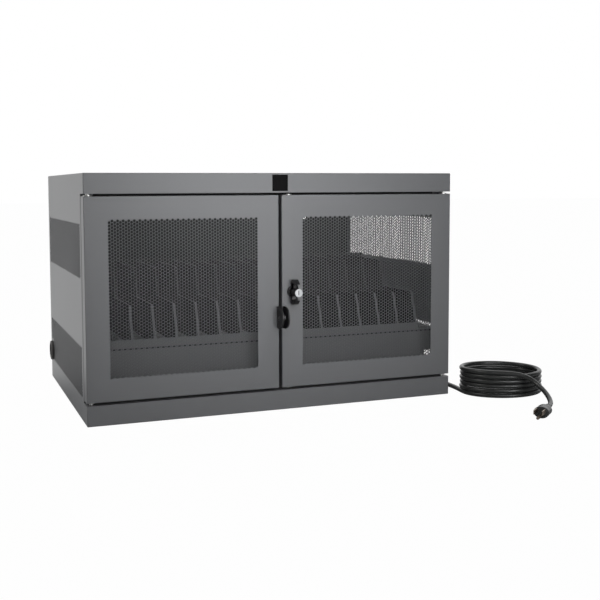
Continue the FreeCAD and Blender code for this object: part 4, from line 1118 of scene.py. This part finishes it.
CABINET_MIDDLE: Point = (0.0, -0.1, 0.2)
COOL_WHITE: Colour = (0.98, 0.99, 1.0)
LAMPS = (
    Lamp("key_lamp", place=(-0.03, -1.1, 0.8), aim=(0.0, -0.2, 0.34), size=(0.5, 0.5), power=0.72,
         colour=COOL_WHITE, beam=45.0),
    Lamp("front_lamp", place=(0.56, -2.2, 0.42), aim=(0.56, 0.0, 0.3), size=(0.6, 0.8), power=11.6,
         colour=COOL_WHITE),
    Lamp("fill_lamp", place=(-0.7, -2.0, 0.5), aim=CABINET_MIDDLE, size=(1.2, 1.2), power=1.9,
         colour=(0.97, 0.98, 1.0)),
    Lamp("side_lamp", place=(-1.6, -0.2, 1.5), aim=CABINET_MIDDLE, size=(0.9, 0.9), power=10.0,
         colour=(1.0, 0.985, 0.96)),
)


@dataclass
class Studio:
    """The camera, the floor, the lamps and the white surround."""

    location: Point = (-0.508814, -1.538653, 0.346964)
    yaw: float = 0.3591
    pitch: float = -0.0729
    roll: float = -0.0041
    lens: float = 55.86
    sensor: float = 36.0
    shift: tuple[float, float] = (0.0391, -0.0754)
    far_end: float = 60.0
    room_light: float = 0.05
    backdrop_light: float = 1.15
    light_colour: Colour = (0.95, 0.97, 1.0)
    backdrop_fade: tuple[float, float] = (-0.1, 0.5)
    floor_reach: float = 20.0
    floor_drop: float = 0.4 * MM
    floor_colour: Colour = (0.45, 0.45, 0.45)
    floor_roughness: float = 0.9
    floor_glow: float = 0.985
    floor_fade: tuple[float, float] = (0.0, 0.36)

    def camera(self) -> None:
        """Stand the camera where the photograph was taken from."""
        ahead = Vector((
            math.sin(self.yaw) * math.cos(self.pitch),
            math.cos(self.yaw) * math.cos(self.pitch),
            math.sin(self.pitch),
        ))
        level = Vector((math.cos(self.yaw), -math.sin(self.yaw), 0.0))
        upward = level.cross(ahead)
        right = level * math.cos(self.roll) + upward * math.sin(self.roll)
        up = upward * math.cos(self.roll) - level * math.sin(self.roll)
        eye = bpy.data.cameras.new("camera")
        eye.sensor_width = self.sensor
        eye.lens = self.lens
        eye.shift_x, eye.shift_y = self.shift
        eye.clip_end = self.far_end
        stand = bpy.data.objects.new("camera", eye)
        turned = Matrix((right, up, -ahead)).transposed().to_4x4()
        stand.matrix_world = Matrix.Translation(Vector(self.location)) @ turned
        bpy.context.scene.collection.objects.link(stand)
        bpy.context.scene.camera = stand

    @staticmethod
    def seen(tree: bpy.types.NodeTree, behind: Socket) -> Socket:
        """Add the test for what the camera sees, also through glass, or behind the object in gloss.

        Args:
            tree: The nodes of a floor or world.
            behind: The socket that rises from 0 to 1 behind the object.

        Returns:
            The socket that is 1 for such rays.
        """
        path = tree.nodes.new("ShaderNodeLightPath")
        direct = combine(tree, "MAXIMUM", path.outputs["Is Camera Ray"], path.outputs["Is Transmission Ray"])
        mirrored = combine(tree, "MULTIPLY", path.outputs["Is Glossy Ray"], behind)
        return combine(tree, "MAXIMUM", direct, mirrored)

    def surround(self) -> None:
        """Make the world: a dim room in front, a bright backdrop behind, white to the camera."""
        world = bpy.data.worlds.new("surround")
        world.use_nodes = True
        bpy.context.scene.world = world
        tree = world.node_tree
        nodes = tree.nodes
        link = tree.links.new
        light = nodes["Background"]
        light.inputs["Color"].default_value = (*self.light_colour, 1.0)
        coords = nodes.new("ShaderNodeTexCoord")
        behind = fade_along_y(tree, coords.outputs["Generated"], *self.backdrop_fade, "SMOOTHSTEP")
        strength = nodes.new("ShaderNodeMapRange")
        strength.inputs["To Min"].default_value = self.room_light
        strength.inputs["To Max"].default_value = self.backdrop_light
        link(behind, strength.inputs["Value"])
        link(strength.outputs["Result"], light.inputs["Strength"])
        white = nodes.new("ShaderNodeBackground")
        white.inputs["Color"].default_value = (1.0, 1.0, 1.0, 1.0)
        white.inputs["Strength"].default_value = 1.0
        mix = nodes.new("ShaderNodeMixShader")
        link(self.seen(tree, behind), mix.inputs["Fac"])
        link(light.outputs["Background"], mix.inputs[1])
        link(white.outputs["Background"], mix.inputs[2])
        link(mix.outputs["Shader"], nodes["World Output"].inputs["Surface"])

    def floor(self) -> None:
        """Make the floor: pale, and nearly white to the camera, with a faint shadow."""
        bm = bmesh.new()
        bmesh.ops.create_grid(bm, x_segments=1, y_segments=1, size=self.floor_reach)
        bmesh.ops.translate(bm, vec=(0, 0, -self.floor_drop), verts=bm.verts[:])
        piece = new_piece("studio_floor", bm, smooth=False)
        paper = bpy.data.materials.new("floor_paper")
        paper.use_nodes = True
        tree = paper.node_tree
        nodes = tree.nodes
        link = tree.links.new
        shader = nodes["Principled BSDF"]
        shader.inputs["Base Color"].default_value = (*self.floor_colour, 1.0)
        shader.inputs["Roughness"].default_value = self.floor_roughness
        glow = nodes.new("ShaderNodeEmission")
        glow.inputs["Strength"].default_value = 1.0
        coords = nodes.new("ShaderNodeTexCoord")
        behind = fade_along_y(tree, coords.outputs["Object"], *self.floor_fade, "SMOOTHSTEP")
        share = combine(tree, "MULTIPLY", self.seen(tree, behind), self.floor_glow)
        mix = nodes.new("ShaderNodeMixShader")
        link(share, mix.inputs["Fac"])
        link(shader.outputs["BSDF"], mix.inputs[1])
        link(glow.outputs["Emission"], mix.inputs[2])
        link(mix.outputs["Shader"], nodes["Material Output"].inputs["Surface"])
        piece.data.materials.append(paper)

    def build(self) -> None:
        """Set up the whole studio."""
        bpy.context.scene.view_settings.view_transform = "Standard"
        self.camera()
        self.surround()
        self.floor()
        for lamp in LAMPS:
            lamp.hang()
        log.info("studio")


def main() -> None:
    """Load the frame, dress it and set it in the studio."""
    logging.basicConfig(level=logging.INFO, format="%(name)s: %(message)s")
    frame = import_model()
    Studio().build()
    wardrobe = Wardrobe()
    wardrobe.dress_solids(frame)
    nodes = frame["nodes"]
    plug = Plug().build(wardrobe)
    MainsLead().build(wardrobe, [plug, nodes["plug_blades"]])
    for side in Side:
        Door(side).build(wardrobe)
        SidePanel(side).build(wardrobe)
    Knob().build(wardrobe)


if __name__ == "__main__":
    main()
